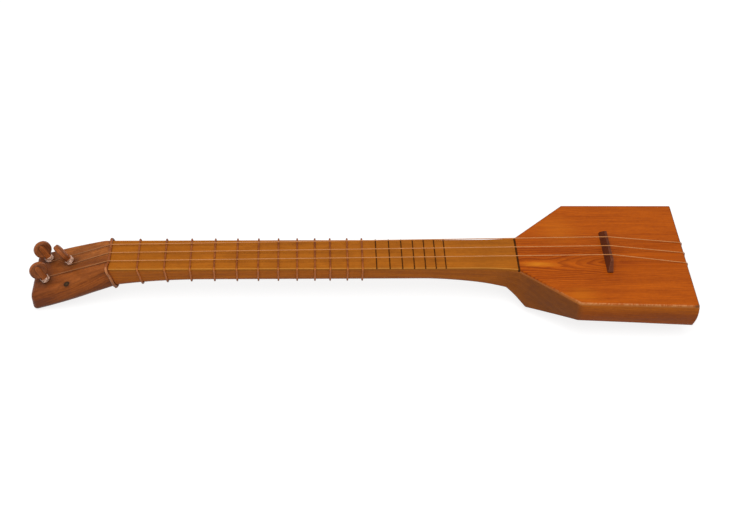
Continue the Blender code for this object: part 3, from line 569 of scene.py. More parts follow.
def body_tone_and_painted_light(nodes, colour):
    """The neck reddens and darkens in painted shade low beside the nut and darkens into the body, whose
    walls are lighter high up and paler below the rim, partly wood colour and partly painted light.
    """
    along, _, height = nodes.place().parts()
    tone = along.ramp(-0.300, -0.190).mix((1.0, 1.0, 0.95), (0.90, 0.90, 0.84))
    # painted shade low on the neck beside the nut
    low = height.ramp(TOP - 0.023, TOP - 0.013, 1.0, 0.0)
    beside_nut = along.ramp(NUT_X + 0.015, NUT_X + 0.080, 1.0, 0.0)
    tone = (low * beside_nut).mix(tone, (0.78, 0.68, 0.70))
    tone = along.ramp(-0.140, -0.080).mix(tone, (0.51, 0.53, 0.90))
    # walls lighter high up and below the rim: partly the wood's colour, partly painted light
    side = height.ramp(0.010, 0.024, along.ramp(-0.120, 0.030), along.ramp(-0.046, -0.036))
    tone = side.mix(tone, (0.76, 0.60, 0.30))
    rim = height.ramp(0.042, 0.053) * side
    return colour.toned(rim.mix(tone, (1.00, 0.92, 0.70)))


def handled_and_shaded(nodes, colour):
    """A peg is rubbed pale on its ridge; dirt and painted shade sit beside the ridge and at the foot of the
    shaft.
    """
    broken = nodes.place().noise(420.0) - 0.5
    rubbed = (nodes.attribute("ridge") + broken * 0.4).ramp(-0.1, 0.35)
    tone = rubbed.mix((0.64, 0.67, 0.86), (1.18, 1.12, 1.03))
    # darker beside the ridge and at the shaft's foot: dirt and painted shade
    dirt_and_painted_shade = (nodes.attribute("crease") + broken).ramp(0.2, 1.0, 0.0, 0.42)
    return colour.toned(dirt_and_painted_shade.mix(tone, (0.30, 0.26, 0.26)))


VARNISH_POOLS = (
    # middle, half length and width, strength, colour
    ((-0.080, -0.0165), (0.026, 0.0046), 0.80, (0.74, 0.245, 0.012)),
    ((-0.040, -0.0620), (0.026, 0.0150), 0.40, (0.64, 0.180, 0.006)),
    ((-0.052, 0.0350), (0.034, 0.0300), 0.40, (0.62, 0.165, 0.008)),
    ((0.020, -0.0150), (0.034, 0.0075), 0.60, (0.28, 0.040, 0.002)),
    ((-0.060, 0.0040), (0.030, 0.0120), 0.40, (0.34, 0.050, 0.002)),
    ((0.062, -0.0120), (0.050, 0.0200), 0.62, (0.42, 0.078, 0.002)),
)


def varnish(nodes, colour):
    """Varnish lies thin by the neck and the shoulders, and thick about the bridge; the sawn edge is pale."""
    streaky = nodes.place().noise((26.0, 330.0), 5.0, 0.65, 0.5) * 1.6
    for centre, size, strength, tint in VARNISH_POOLS:
        reach = far_from(nodes, centre, size) + streaky
        colour = reach.ramp(0.7, 1.9, strength, 0.0).mix(colour, tint)
    return nodes.height().ramp(TOP - 0.0024, TOP - 0.0012, 0.75, 0.0).mix(colour, (0.50, 0.160, 0.030))


HEAD_WOOD = wood(
    "head_wood", (0.44, 0.132, 0.028), (0.185, 0.049, 0.011), (0.095, 0.024, 0.007), (0.44, 0.18, 0.07),
    pith=(-0.55, 0.012, -0.060), ring=0.0030, figure=0.38, wander=0.006, roughness=0.44,
    own_grain=True, stains=(head_tone_and_painted_light, peg_grime_and_shade, wood_knot))
STEM_WOOD = wood(
    "stem_wood", (0.61, 0.170, 0.014), (0.37, 0.094, 0.008), (0.21, 0.048, 0.004), (0.55, 0.22, 0.04),
    pith=(-0.3, 0.004, -0.09), ring=0.0026, figure=0.22, wander=0.004, roughness=0.45,
    stains=(body_tone_and_painted_light,))
PALE_WOOD = wood(
    "pale_wood", (0.51, 0.154, 0.009), (0.335, 0.096, 0.005), (0.21, 0.048, 0.003), (0.62, 0.26, 0.04),
    pith=(-0.3, -0.006, -0.05), ring=0.0020, figure=0.12, wander=0.004, roughness=0.42,
    wear_and_highlight=0.95, rubbed_lit_strength=0.75)
# the top's line colour is painted shade along its far and tail edges
TOP_WOOD = wood(
    "top_wood", (0.585, 0.119, 0.003), (0.370, 0.065, 0.002), (0.210, 0.025, 0.001), (0.74, 0.36, 0.14),
    pith=(-0.090, -0.0140, TOP - 0.0012), ring=0.0024, figure=0.80, wander=0.0080, roughness=0.38,
    dip=0.010, rise=(0.0130, 0.018, 0.118), fade=0.42, quiet=(0.002, 0.022), pores=0.25,
    wear_and_highlight=0.62, rubbed_lit_strength=0.62, line=(0.090, 0.026, 0.006), stains=(varnish,))
BARE_WOOD = wood(
    "bare_wood", (0.66, 0.45, 0.24), (0.52, 0.33, 0.16), (0.40, 0.22, 0.09), (0.70, 0.52, 0.30),
    pith=(-0.026, 0.0, -0.04), ring=0.0014, figure=0.5, wander=0.002, roughness=0.65,
    wear_and_highlight=0.5, shine=0.3)
BRIDGE_WOOD = wood(
    "bridge_wood", (0.19, 0.052, 0.020), (0.095, 0.024, 0.010), (0.050, 0.012, 0.005), (0.30, 0.13, 0.08),
    pith=(0.0, 0.0, 0.03), ring=0.0012, figure=0.35, wander=0.001, roughness=0.46,
    wear_and_highlight=0.80, fineness=1.6)
INLAY_WOOD = wood(
    "inlay_wood", (0.110, 0.033, 0.004), (0.050, 0.014, 0.002), (0.026, 0.008, 0.001), (0.10, 0.05, 0.02),
    pith=(0.0, 0.0, 0.03), ring=0.0010, figure=0.35, wander=0.001, roughness=0.50,
    fineness=1.8, shine=0.06)
PEG_WOOD = wood(
    "peg_wood", (0.52, 0.160, 0.040), (0.215, 0.060, 0.017), (0.090, 0.025, 0.009), (0.42, 0.19, 0.08),
    pith=(0.0, 0.012, -0.004), ring=0.0017, figure=0.55, wander=0.0015, roughness=0.38,
    fineness=1.1, own_grain=True, stains=(handled_and_shaded,))


# Cords and metal

def cord_finish(name, pale, deep):
    """A smooth drawn cord with a slow change of tone along it. Gives its nodes, colour and fine marks."""
    nodes = Finish(name)
    marks = nodes.place().noise(1500.0)
    tone = nodes.place().noise(120.0, 2.0) * 0.6 + marks * 0.4
    return nodes, tone.ramp(0.3, 0.7).mix(deep, pale), marks


def fret_finish():
    """The tied cords are painted paler on the near side, a painted highlight strongest on the nut cord, and
    painted shade darkens them below and past the far edge.
    """
    nodes, colour, marks = cord_finish("fret_gut", (0.44, 0.124, 0.028), (0.22, 0.052, 0.011))
    along, across, height = nodes.place().parts()
    # painted highlight on the near side, paler and greyer on the nut cord
    pale = along.ramp(NUT_X + 0.004, NUT_X + 0.012).mix((0.60, 0.230, 0.085), (0.60, 0.180, 0.038))
    colour = across.ramp(-0.0232, -0.0208, 0.80, 0.0).mix(colour, pale)
    # painted shade below the neck's top and past the far edge
    below = height.ramp(TOP - 0.021, TOP - 0.011, 0.42, 0.0)
    dirt_and_painted_shade = below.most(across.ramp(0.0205, 0.0228, 0.0, 0.55))
    colour = dirt_and_painted_shade.mix(colour, (0.070, 0.026, 0.014))
    return nodes.dress(colour, marks * 0.15 + 0.28, marks.bump(0.08, 0.0001), {"Specular IOR Level": 0.20})


def string_finish():
    """A string is dull with dirt beyond the nut; where it is wound up it is painted with pale patches of
    painted highlight and has a clear coat.
    """
    nodes, colour, marks = cord_finish("string_nylon", (0.66, 0.290, 0.105), (0.54, 0.220, 0.070))
    along, _, _ = nodes.place().parts()
    dull = along.ramp(NUT_X - 0.050, NUT_X - 0.004, 0.88, 0.55)
    dull = dull * along.ramp(NUT_X - 0.002, NUT_X + 0.004, 1.0, 0.0)
    colour = dull.mix(colour, (0.27, 0.112, 0.050))
    # painted highlights and shade in patches on the winding
    painted_glints = nodes.place().noise(330.0, 1.0).ramp(0.38, 0.62)
    bright = painted_glints.mix((0.36, 0.180, 0.105), (0.86, 0.56, 0.41))
    wound = nodes.attribute("wound")
    return nodes.dress(
        wound.mix(colour, bright), marks * 0.15 + 0.25, marks.bump(0.08, 0.0001),
        {"Specular IOR Level": 0.12, "Coat Weight": wound, "Coat Roughness": 0.08})


def pin_finish():
    """Yellow metal, brushed and a little tarnished."""
    nodes = Finish("pin_metal")
    tarnish = nodes.place().noise(420.0, 4.0).ramp(0.35, 0.7)
    colour = tarnish.mix((0.62, 0.44, 0.19), (0.36, 0.22, 0.09))
    brushed = nodes.place().noise((400.0, 4000.0), 2.0)
    return nodes.dress(colour, tarnish * 0.25 + 0.25, brushed.bump(0.1, 0.0001), {"Metallic": 1.0})


FRET_GUT = fret_finish()
STRING_NYLON = string_finish()
PIN_METAL = pin_finish()


# Meshes

def stored(bm, name):
    mesh = bpy.data.meshes.new(name)
    bm.to_mesh(mesh)
    bm.free()
    return mesh


def modify(holder, kind, **settings):
    modifier = holder.modifiers.new(kind.lower(), kind)
    for name, setting in settings.items():
        setattr(modifier, name, setting)
    return modifier


def settled(source):
    """The mesh of an object as its modifiers leave it; the object itself is removed."""
    bpy.context.view_layer.update()
    evaluated = source.evaluated_get(bpy.context.evaluated_depsgraph_get())
    mesh = bpy.data.meshes.new_from_object(evaluated)
    bpy.data.objects.remove(source, do_unlink=True)
    return mesh


def cut(mesh, *shapes):
    """A mesh with other meshes cut out of it."""
    holder = placed(mesh.name, mesh)
    cutters = [placed(shape.name, shape) for shape in shapes]
    for cutter in cutters:
        modify(holder, "BOOLEAN", object=cutter)
    mesh = settled(holder)
    for cutter in cutters:
        bpy.data.objects.remove(cutter, do_unlink=True)
    return mesh


def show(name, mesh, material, slot, node, body="lute"):
    """Put a finished mesh on a body, in the place of a node of the frame."""
    mesh.materials.clear()
    mesh.materials.append(material)
    piece = placed(name, mesh)
    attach(piece, body)
    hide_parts(node)


def spread(start, end, steps):
    return [start + (end - start) * step / steps for step in range(steps + 1)]


def held(share):
    """A share kept between 0 and 1."""
    return min(1.0, max(0.0, share))


def on_circle(radius, angle):
    return radius * math.cos(angle), radius * math.sin(angle)


def write_values(mesh, name, values):
    """Keep a number, a yes or no, or a place on the wood for each point of a mesh."""
    field, kind = ("vector", "FLOAT_VECTOR") if isinstance(values[0], Vector) else ("value", "FLOAT")
    attribute = mesh.attributes.new(name, kind, "POINT")
    for item, value in zip(attribute.data, values):
        setattr(item, field, value)


def mark_edges(mesh, narrow):
    """Mark the points that lie only on faces narrower than a width: the middles of the edges."""
    broad = set()
    for face in mesh.polygons:
        corners = [mesh.vertices[i].co for i in face.vertices]
        outline = sum((a - b).length for a, b in zip(corners, corners[1:] + corners[:1]))
        if 2 * face.area / outline > narrow:
            broad.update(face.vertices)
    write_values(mesh, "edge", [i not in broad for i in range(len(mesh.vertices))])


def merged(mesh):
    """A mesh with the points that lie together made one, and its faces turned outwards."""
    bm = bmesh.new()
    bm.from_mesh(mesh)
    bmesh.ops.remove_doubles(bm, verts=bm.verts[:], dist=MERGE)
    bmesh.ops.recalc_face_normals(bm, faces=bm.faces[:])
    return bm


def frame_copy(node):
    """A copy of a node of the frame, its loose triangles merged into whole faces."""
    bm = merged(frame["nodes"][node].data)
    bmesh.ops.dissolve_limit(bm, angle_limit=FLAT, verts=bm.verts[:], edges=bm.edges[:])
    return bm


def round_off(bm, edges, width):
    bmesh.ops.bevel(
        bm, geom=edges, offset=width, segments=3, profile=0.5, affect="EDGES", clamp_overlap=True)


def shade_round(mesh, sharp=40):
    """Shade a mesh smoothly, apart from the edges that turn by more than an angle in degrees."""
    mesh.shade_smooth()
    mesh.set_sharp_from_angle(angle=math.radians(sharp))
    return mesh


def shade_by_face(mesh):
    """Shade rounded edges smoothly and keep the broad faces flat."""
    holder = placed(mesh.name, shade_round(mesh, 50))
    modify(holder, "WEIGHTED_NORMAL", keep_sharp=True, weight=90)
    return settled(holder)


def show_cut(name, bm, narrow, *finish):
    """Show a piece whose edges are rounded by faces narrower than a width."""
    mesh = stored(bm, name)
    mark_edges(mesh, narrow)
    show(name, shade_by_face(mesh), *finish)


def quarter(across, up, radius, start):
    """Points of a quarter circle about a centre, counted from a starting angle in degrees."""
    angles = [math.radians(angle) for angle in spread(start, start + 90, CORNER_STEPS)]
    return [(across + y, up + z) for y, z in (on_circle(radius, angle) for angle in angles)]


def rounded_section(half_width, top, bottom, far_round, near_round, back_round, flats):
    """Points (y, z) round a section. Each flat between two corners has a set number of steps."""
    corners = (
        quarter(half_width - back_round, bottom + back_round, back_round, 270),
        quarter(half_width - far_round, top - far_round, far_round, 0),
        quarter(near_round - half_width, top - near_round, near_round, 90),
        quarter(back_round - half_width, bottom + back_round, back_round, 180),
    )
    points = []
    for corner, after, steps in zip(corners, corners[1:] + corners[:1], flats):
        points += corner
        (y1, z1), (y2, z2) = corner[-1], after[0]
        points += list(zip(spread(y1, y2, steps), spread(z1, z2, steps)))[1:-1]
    return points


def leaning(x, lean, section):
    return [Vector((x + lean * (TOP - z), y, z)) for y, z in section]


def loft(name, rings):
    """A closed surface through rings that have the same number of points."""
    bm = bmesh.new()
    loops = [[bm.verts.new(point) for point in ring] for ring in rings]
    count = len(rings[0])
    for first, second in zip(loops, loops[1:]):
        for here in range(count):
            after = (here + 1) % count
            bm.faces.new((first[here], first[after], second[after], second[here]))
    bm.faces.new(loops[0])
    bm.faces.new(loops[-1])
    bmesh.ops.recalc_face_normals(bm, faces=bm.faces[:])
    return stored(bm, name)


def line_through(name, points):
    """A new object that is a line through points."""
    mesh = bpy.data.meshes.new(name)
    mesh.from_pydata(points, [(here, here + 1) for here in range(len(points) - 1)], [])
    return placed(name, mesh)


def turned(name, profile, sides=PEG_SIDES):
    """A round solid about Z, from a profile of (radius, height) points, low to high."""
    points = [(0.0, profile[0][1]), *profile, (0.0, profile[-1][1])]
    source = line_through(name, [(radius, 0.0, height) for radius, height in reversed(points)])
    modify(
        source, "SCREW", steps=sides, render_steps=sides, use_merge_vertices=True, merge_threshold=MERGE)
    return stored(merged(settled(source)), name)


# Neck and head

def nut_share(x):
    """1 at the nut, falling to 0 where the neck has its even depth."""
    return held(1.0 - (x - NUT_X) / NUT_SWELL)


def heel_share(x):
    """0 along the even neck, rising to 1 at the body."""
    return held(1.0 + (x - SEAM_X) / HEEL_SWELL)


def neck_half_width(x):
    flare = max(0.0, 1.0 + (x - JOINT_X) / FLARE_LENGTH)
    return (NECK_WIDTH + (JOINT_WIDTH - NECK_WIDTH) * flare ** 2) / 2


def neck_back(x):
    """Height of the back of the neck."""
    to_nut = (NUT_DEPTH - NECK_DEPTH) * nut_share(x) ** 2
    to_heel = (HEEL_DEPTH - NECK_DEPTH) * heel_share(x) ** 2
    return TOP - (NECK_DEPTH + to_nut + to_heel)


def neck_round(x):
    """Radius of the neck's two back edges."""
    return NECK_ROUND + (HEEL_ROUND - NECK_ROUND) * heel_share(x)


def neck_lean(x):
    return NUT_LEAN * nut_share(x)


def neck_loft(name, end, *section):
    """A piece from the nut to an end, as wide as the neck. The sizes of its section may depend on x."""
    rings = []
    for x in spread(NUT_X + SEAT, end, round((end - NUT_X) / STATION_STEP)):
        sizes = [size(x) if callable(size) else size for size in section]
        rings.append(leaning(x, neck_lean(x), rounded_section(neck_half_width(x), *sizes)))
    return loft(name, rings)


def make_neck():
    under = BOARD_UNDERSIDE - SEAT
    mesh = neck_loft("neck", SEAM_X - SEAT, under, neck_back, SEAT, SEAT, neck_round, [4, 1, 4, 12])
    show("neck_carved", shade_round(mesh), STEM_WOOD, "neck_wood", "neck")


def head_share(x):
    return (NUT_X - x) / HEAD_LENGTH


def head_half_width(x):
    share = head_share(x)
    straight = NECK_WIDTH + (HEAD_END_WIDTH - NECK_WIDTH) * share
    return straight / 2 + HEAD_BULGE * 4 * share * (1 - share)


def head_top(x):
    """Height of the head's face, which bends back past the nut."""
    ahead = NUT_X - x
    bend_length = HEAD_BEND * math.sin(HEAD_TILT)
    if ahead < bend_length:
        return TOP - HEAD_BEND + math.sqrt(HEAD_BEND ** 2 - ahead ** 2)
    return TOP - HEAD_BEND * (1 - math.cos(HEAD_TILT)) - (ahead - bend_length) * math.tan(HEAD_TILT)


def head_back(x, lean):
    """Height of the head's back where a section that leans from x meets it."""
    seam_x = NUT_X + NUT_LEAN * NUT_DEPTH
    seam_z = TOP - NUT_DEPTH
    slope = (seam_z - HEAD_END_LIFT) / (seam_x - HEAD_END_X - HEAD_END_ROUND)
    return (seam_z + slope * (x + lean * TOP - seam_x)) / (1 + slope * lean)


def head_ring(x, inset):
    lean = NUT_LEAN * (1 - head_share(x))
    soft = min(1.0, (NUT_X - x) / HEAD_BLEND)

    def rounding(at_head, at_nut):
        return max(CLEARANCE, at_head * soft + at_nut * (1 - soft) - inset)

    section = rounded_section(
        head_half_width(x) - inset, head_top(x) - inset, head_back(x, lean) + inset,
        rounding(HEAD_FAR_ROUND, NUT_EDGE_ROUND), rounding(HEAD_NEAR_ROUND, NUT_EDGE_ROUND),
        rounding(HEAD_BACK_ROUND, NECK_ROUND), [5, 14, 5, 14])
    return leaning(x, lean, section)


def carve(rings):
    """Move the points inwards a little, as uneven as a knife leaves a surface."""
    for ring in rings:
        centre = sum(ring, Vector()) / len(ring)
        for point in ring:
            share = 0.5 + 0.5 * noise.noise(point * CARVING_SCALE)
            inwards = centre - point
            inwards.x = 0.0
            point += inwards.normalized() * CARVING * share


def make_head():
    rings = []
    for angle in spread(0.0, math.pi / 2, 8)[:-1]:
        along, up = on_circle(HEAD_END_ROUND, angle)
        rings.append(head_ring(HEAD_END_X + HEAD_END_ROUND - along, HEAD_END_ROUND - up))
    first = HEAD_END_X + HEAD_END_ROUND
    steps = round((NUT_X - first) / STATION_STEP)
    rings += [head_ring(x, 0.0) for x in spread(first, NUT_X - SEAT, steps)]
    carve(rings[:-1])
    bores = []
    for number in range(len(PEG_BODIES)):
        reach = peg_reach(number)
        profile = [(peg_radius(height) + 2 * SEAT, height) for height in (-2 * reach, reach)]
        bores.append(turned(f"bore_{number + 1}", profile))
        bores[-1].transform(peg_matrix(number))
    mesh = shade_round(cut(loft("head", rings), *bores))
    turn = Matrix.Rotation(HEAD_TILT, 4, "Y")
    pivot = Vector((NUT_X, 0.0, TOP))
    write_values(mesh, "grain", [pivot + turn @ (v.co - pivot) for v in mesh.vertices])
    show("head_carved", mesh, HEAD_WOOD, "head_wood", "head")


# Boards, body and bridge

def make_fingerboard():
    """A board with rounded playing edges and a slot for each inlaid fret."""
    under = BOARD_UNDERSIDE + SEAT
    board = neck_loft(
        "fingerboard", BOARD_HIGH.x, TOP, under, BOARD_ROUND, BOARD_ROUND, SEAT, [1, 8, 1, 8])
    slots = bmesh.new()
    for number in INLAID_NUMBERS:
        for vertex in bmesh.ops.create_cube(slots, size=1.0)["verts"]:
            vertex.co.x = fret_x(number) + vertex.co.x * (INLAY_WIDTH + 2 * SEAT)
            vertex.co.y *= 2 * NECK_WIDTH
            vertex.co.z = TOP + vertex.co.z * 2 * (INLAY_DEPTH + SEAT)
    mesh = cut(board, stored(slots, "slots"))
    inset = BOARD_ROUND - SEAT
    sides = [abs(v.co.y) > neck_half_width(v.co.x) - inset for v in mesh.vertices]
    write_values(mesh, "edge", [side and v.co.z > TOP - inset for side, v in zip(sides, mesh.vertices)])
    show("fingerboard_planed", shade_round(mesh), PALE_WOOD, "pale_wood", "fingerboard")


def fret_x(number):
    shift = MOVED_FRET_SHIFT if number == MOVED_FRET else 0.0
    return -SCALE_LENGTH * 2 ** (-number / SEMITONES) + shift


INLAID_NUMBERS = range(TIED_FRETS + 1, TIED_FRETS + INLAID_FRETS + 1)


def make_inlays():
    side, foot = INLAY_WIDTH / 2, TOP - INLAY_DEPTH
    crown = quarter(side - INLAY_PROUD, TOP, INLAY_PROUD, 0)
    section = [(-side, foot), (side, foot), *crown, *((-across, up) for across, up in reversed(crown))]
    for number in INLAID_NUMBERS:
        x = fret_x(number)
        half = neck_half_width(x) - 2 * SEAT
        rings = [[(x + across, y, up) for across, up in section] for y in spread(-half, half, 8)]
        name = f"inlay_{number}"
        show(name, shade_round(loft(name, rings)), INLAY_WOOD, "dark_wood", f"inlaid_fret_{number}")


def make_soundboard():
    """The frame's soundboard, its underside lowered onto the rim of the body."""
    bm = frame_copy("soundboard")
    for vertex in bm.verts:
        if vertex.co.z < BOARD_UNDERSIDE + SEAT:
            vertex.co.z -= CLEARANCE - SEAT
    show_cut("soundboard_planed", bm, RIM_FACE, TOP_WOOD, "top_wood", "soundboard")


def make_strip():
    """A dark strip that fills the gap between the two boards."""
    gap = Vector((CLEARANCE - SEAT, 0.0, 0.0))
    low, high = STRIP_LOW - gap, STRIP_HIGH + gap
    high.z -= STRIP_SUNK
    bm = bmesh.new()
    bmesh.ops.create_cube(bm, size=1.0)
    for vertex in bm.verts:
        vertex.co = [low[i] + (high[i] - low[i]) * (vertex.co[i] + 0.5) for i in range(3)]
    upper = [edge for edge in bm.edges if all(v.co.z > high.z - SEAT for v in edge.verts)]
    round_off(bm, upper, STRIP_ROUND)
    mesh = stored(bm, "joint_strip")
    mark_edges(mesh, STRIP_FACE)
    show("strip_inlaid", mesh, INLAY_WOOD, "dark_wood", "joint_strip")


def make_body():
    show_cut("body_carved", frame_copy("body_shell"), RIM_FACE, STEM_WOOD, "body_wood", "body_shell")


def make_bridge():
    bm = frame_copy("bridge")
    sharp = [edge for edge in bm.edges if edge.calc_face_angle(0.0) > BRIDGE_SHARP]
    round_off(bm, sharp, BRIDGE_ROUND)
    show_cut("bridge_cut", bm, BRIDGE_FACE, BRIDGE_WOOD, "dark_wood", "bridge")


def make_brace():
    """The frame's own brace, out of sight below the soundboard."""
    brace = frame["nodes"]["soundboard_brace"].data
    brace.materials.clear()
    brace.materials.append(BARE_WOOD)


# Pegs and pins

def peg_matrix(number):
    """Frame of a peg, with Z along its axis out of the head's face."""
    axis = Vector(PEG_JOINTS[number]["axis"])
    place = Vector(PEG_JOINTS[number]["pos_m"])
    return Matrix.Translation(place) @ Matrix.Rotation(math.atan2(axis.x, axis.z), 4, "Y")


def peg_radius(height):
    return (PEG_DIAMETER + PEG_TAPER * height) / 2


def peg_reach(number):
    """Length of a peg below the face of the head."""
    inverse = peg_matrix(number).inverted()
    node = frame["nodes"][f"peg_{number + 1}"]
    return -min((inverse @ vertex.co).z for vertex in node.data.vertices)


def ridge_radius(share):
    """Radius of the shaft at a share of its way from the middle of the disc to the end of the ridge."""
    return peg_radius(PEG_DISC_LIFT) * math.sqrt(1 - share ** PEG_RIDGE_BLUNT)


def peg_shares(place):
    """How much a point of a peg lies on its ridge, and how much in the dirt and painted shade beside it or
    at its foot.
    """
    if place.z < COIL_LIFT:
        return 0.0, 1.0
    along = place.z - PEG_DISC_LIFT
    if along < -PEG_DISC / 2:
        return 1.0, 0.0
    flat = PEG_DISC_THICKNESS / 2 - PEG_DISH
    reach = held(along / (PEG_RIDGE * PEG_DISC / 2))
    half = math.sqrt(max(0.0, ridge_radius(reach) ** 2 - flat ** 2))
    if half == 0.0 or abs(place.x) < PEG_RIM_WEAR:
        return max(0.0, 1.0 - abs(place.x) / PEG_RIM_WEAR), 0.0
    beside = (abs(place.y) - half) / PEG_CREASE
    return held(-beside), max(0.0, 1.0 - abs(beside - PEG_CREASE_SHIFT))


def make_peg(number):
    """A shaft that runs up through a thin round disc and fades out below its rim."""
    reach = peg_reach(number)
    end = peg_radius(-reach)
    shaft = [(end - PEG_END_BEVEL, -reach), (end, PEG_END_BEVEL - reach)]
    shaft += [(peg_radius(height), height) for height in spread(0.0, PEG_DISC_LIFT, 8)]
    for share in RIDGE_SHARES:
        shaft.append((ridge_radius(share), PEG_DISC_LIFT + PEG_RIDGE * PEG_DISC / 2 * share))
    half, inner = PEG_DISC_THICKNESS / 2, PEG_DISC / 2 - PEG_DISC_ROUND
    face = quarter(inner, half - PEG_DISC_ROUND, PEG_DISC_ROUND, 0)
    face += [(inner - PEG_DISH_EDGE * share, half - PEG_DISH * share) for share in DISH_SHARES]
    disc = turned("disc", [(radius, -height) for radius, height in reversed(face)] + face)
    disc.transform(Matrix.Translation((0, 0, PEG_DISC_LIFT)) @ Matrix.Rotation(math.pi / 2, 4, "Y"))
    bm = bmesh.new()
    for mesh in (turned("shaft", shaft), disc):
        bm.from_mesh(mesh)
    holder = placed("peg", stored(bm, "peg"))
    modify(holder, "REMESH", mode="VOXEL", voxel_size=PEG_CELL, use_smooth_shade=True)
    modify(holder, "SMOOTH", factor=0.5, iterations=5)
    mesh = settled(holder)
    shift = PEG_GRAIN_SHIFT * number
    write_values(mesh, "grain", [Vector((v.co.z, v.co.x + shift, v.co.y)) for v in mesh.vertices])
    ridges, creases = zip(*(peg_shares(v.co) for v in mesh.vertices))
    write_values(mesh, "ridge", ridges)
    write_values(mesh, "crease", creases)
    mesh.transform(peg_matrix(number) @ Matrix.Rotation(math.radians(PEG_TURNS[number]), 4, "Z"))
    mesh.shade_smooth()
    body = PEG_BODIES[number]
    show(f"{body}_turned", mesh, PEG_WOOD, "peg_wood", f"peg_{number + 1}", body)


def wall_swell(z):
    """How far the tail stands past its top edge at a height."""
    share = held((TOP - z) / WALL_HEIGHT)
    return WALL_SWELL * 4 * share * (1 - share)


def pin_matrix(number):
    """Frame of a tail pin, with Z along its axis out of the tail."""
    y = (1 - number) * TAIL_SPACING + PIN_DIAMETER / 2 + CLEARANCE + STRING / 2
    z = TOP - PIN_DROP
    return Matrix.Translation((TAIL_X + wall_swell(z), y, z)) @ Matrix.Rotation(math.pi / 2, 4, "Y")


def make_pin(number):
    """A pin with a domed head."""
    shaft, head = PIN_DIAMETER / 2, PIN_HEAD / 2
    profile = [
        (shaft, -PIN_DEPTH), (shaft, PIN_NECK - PIN_FILLET),
        (shaft + PIN_FILLET, PIN_NECK), (head - PIN_HEAD_EDGE, PIN_NECK),
    ]
    dome = PIN_HEAD_THICKNESS - PIN_HEAD_EDGE
    for angle in spread(0.0, math.pi / 2, 10)[:-1]:
        profile.append((head * math.cos(angle), PIN_NECK + PIN_HEAD_EDGE + dome * math.sin(angle)))
    node = f"tail_pin_{number + 1}"
    mesh = turned(node, profile, PIN_SIDES)
    mesh.transform(pin_matrix(number))
    show(f"{node}_turned", shade_round(mesh), PIN_METAL, "pin_metal", node)


# Cords and strings

def make_cord_tree():
    """Lays a round cord along a line of points, its two ends rounded off."""
    nodes, given, out = node_group(
        "laid_cord", ["Path", "Thickness", "Sides", "Finish"], ["Cord"], "GeometryNodeTree")
    half = given["Thickness"] * 0.5
    line = nodes.value("GeometryNodeMeshToCurve", {"Mesh": given["Path"]})
    along = nodes.value("GeometryNodeSplineParameter", output="Length")
    to_end = along.math("MINIMUM", nodes.value("GeometryNodeSplineLength", output="Length") - along)
    short = 1.0 - to_end.math("DIVIDE", half, clamp=True)
    scale = (1.0 - short * short).math("SQRT").most(CORD_TIP)
    circle = nodes.value("GeometryNodeCurvePrimitiveCircle", {"Resolution": given["Sides"], "Radius": half})
    sweep = {"Curve": line, "Profile Curve": circle, "Scale": scale, "Fill Caps": True}
    cord = nodes.value("GeometryNodeCurveToMesh", sweep)
    cord = nodes.value("GeometryNodeSetShadeSmooth", {"Geometry": cord})
    cord = nodes.value("GeometryNodeRealizeInstances", {"Geometry": cord})
    cord = nodes.value("GeometryNodeSetMaterial", {"Geometry": cord, "Material": given["Finish"]})
    nodes.feed(out["Cord"], cord)
    return nodes.tree


CORD_TREE = make_cord_tree()


def with_tips(points, thickness):
    """The points with close ones added at both ends, where the cord is rounded off."""
    def tip(end, inner):
        way = (inner - end).normalized() * thickness / 2
        return [end + way * share for share in TIP_SHARES]
    return tip(points[0], points[1]) + points[1:-1] + tip(points[-1], points[-2])[::-1]


def laid_cord(name, points, thickness, material):
    holder = line_through(name, with_tips(points, thickness))
    layer = modify(holder, "NODES", node_group=CORD_TREE)
    values = {"Thickness": thickness, "Sides": CORD_SIDES, "Finish": material}
    for item in CORD_TREE.interface.items_tree:
        if item.name in values:
            layer[item.identifier] = values[item.name]
    return settled(holder)


def bent_section(x, lift, bend):
    """Points (y, z) of a stiff cord round the neck, which stands off a little at the board's edges."""
    off = (1 - math.sqrt(0.5)) * (bend - lift)
    half = neck_half_width(x)
    back, back_round = neck_back(x) - lift, neck_round(x) + lift
    section = rounded_section(
        half + lift + off, TOP + lift + off, back, bend, bend, back_round, [8, 16, 8, 1])
    points = []
    for y, z in section:
        over = held((abs(y) - half + BEND_REACH) / BEND_REACH)
        beside = held((z - TOP + BEND_REACH) / BEND_REACH)
        z -= off * (1 - over) ** 2 if z > TOP else 0.0
        y -= math.copysign(off * (1 - beside) ** 2, y) if abs(y) > half else 0.0
        points.append((y, z))
    return points


def slip_share(y):
    """Share of a cord's slip at a place across the neck, from 0 in the middle to 1 at the near edge."""
    return held((-y - SLIP_START) / (NECK_WIDTH / 2 - SLIP_START)) ** 2


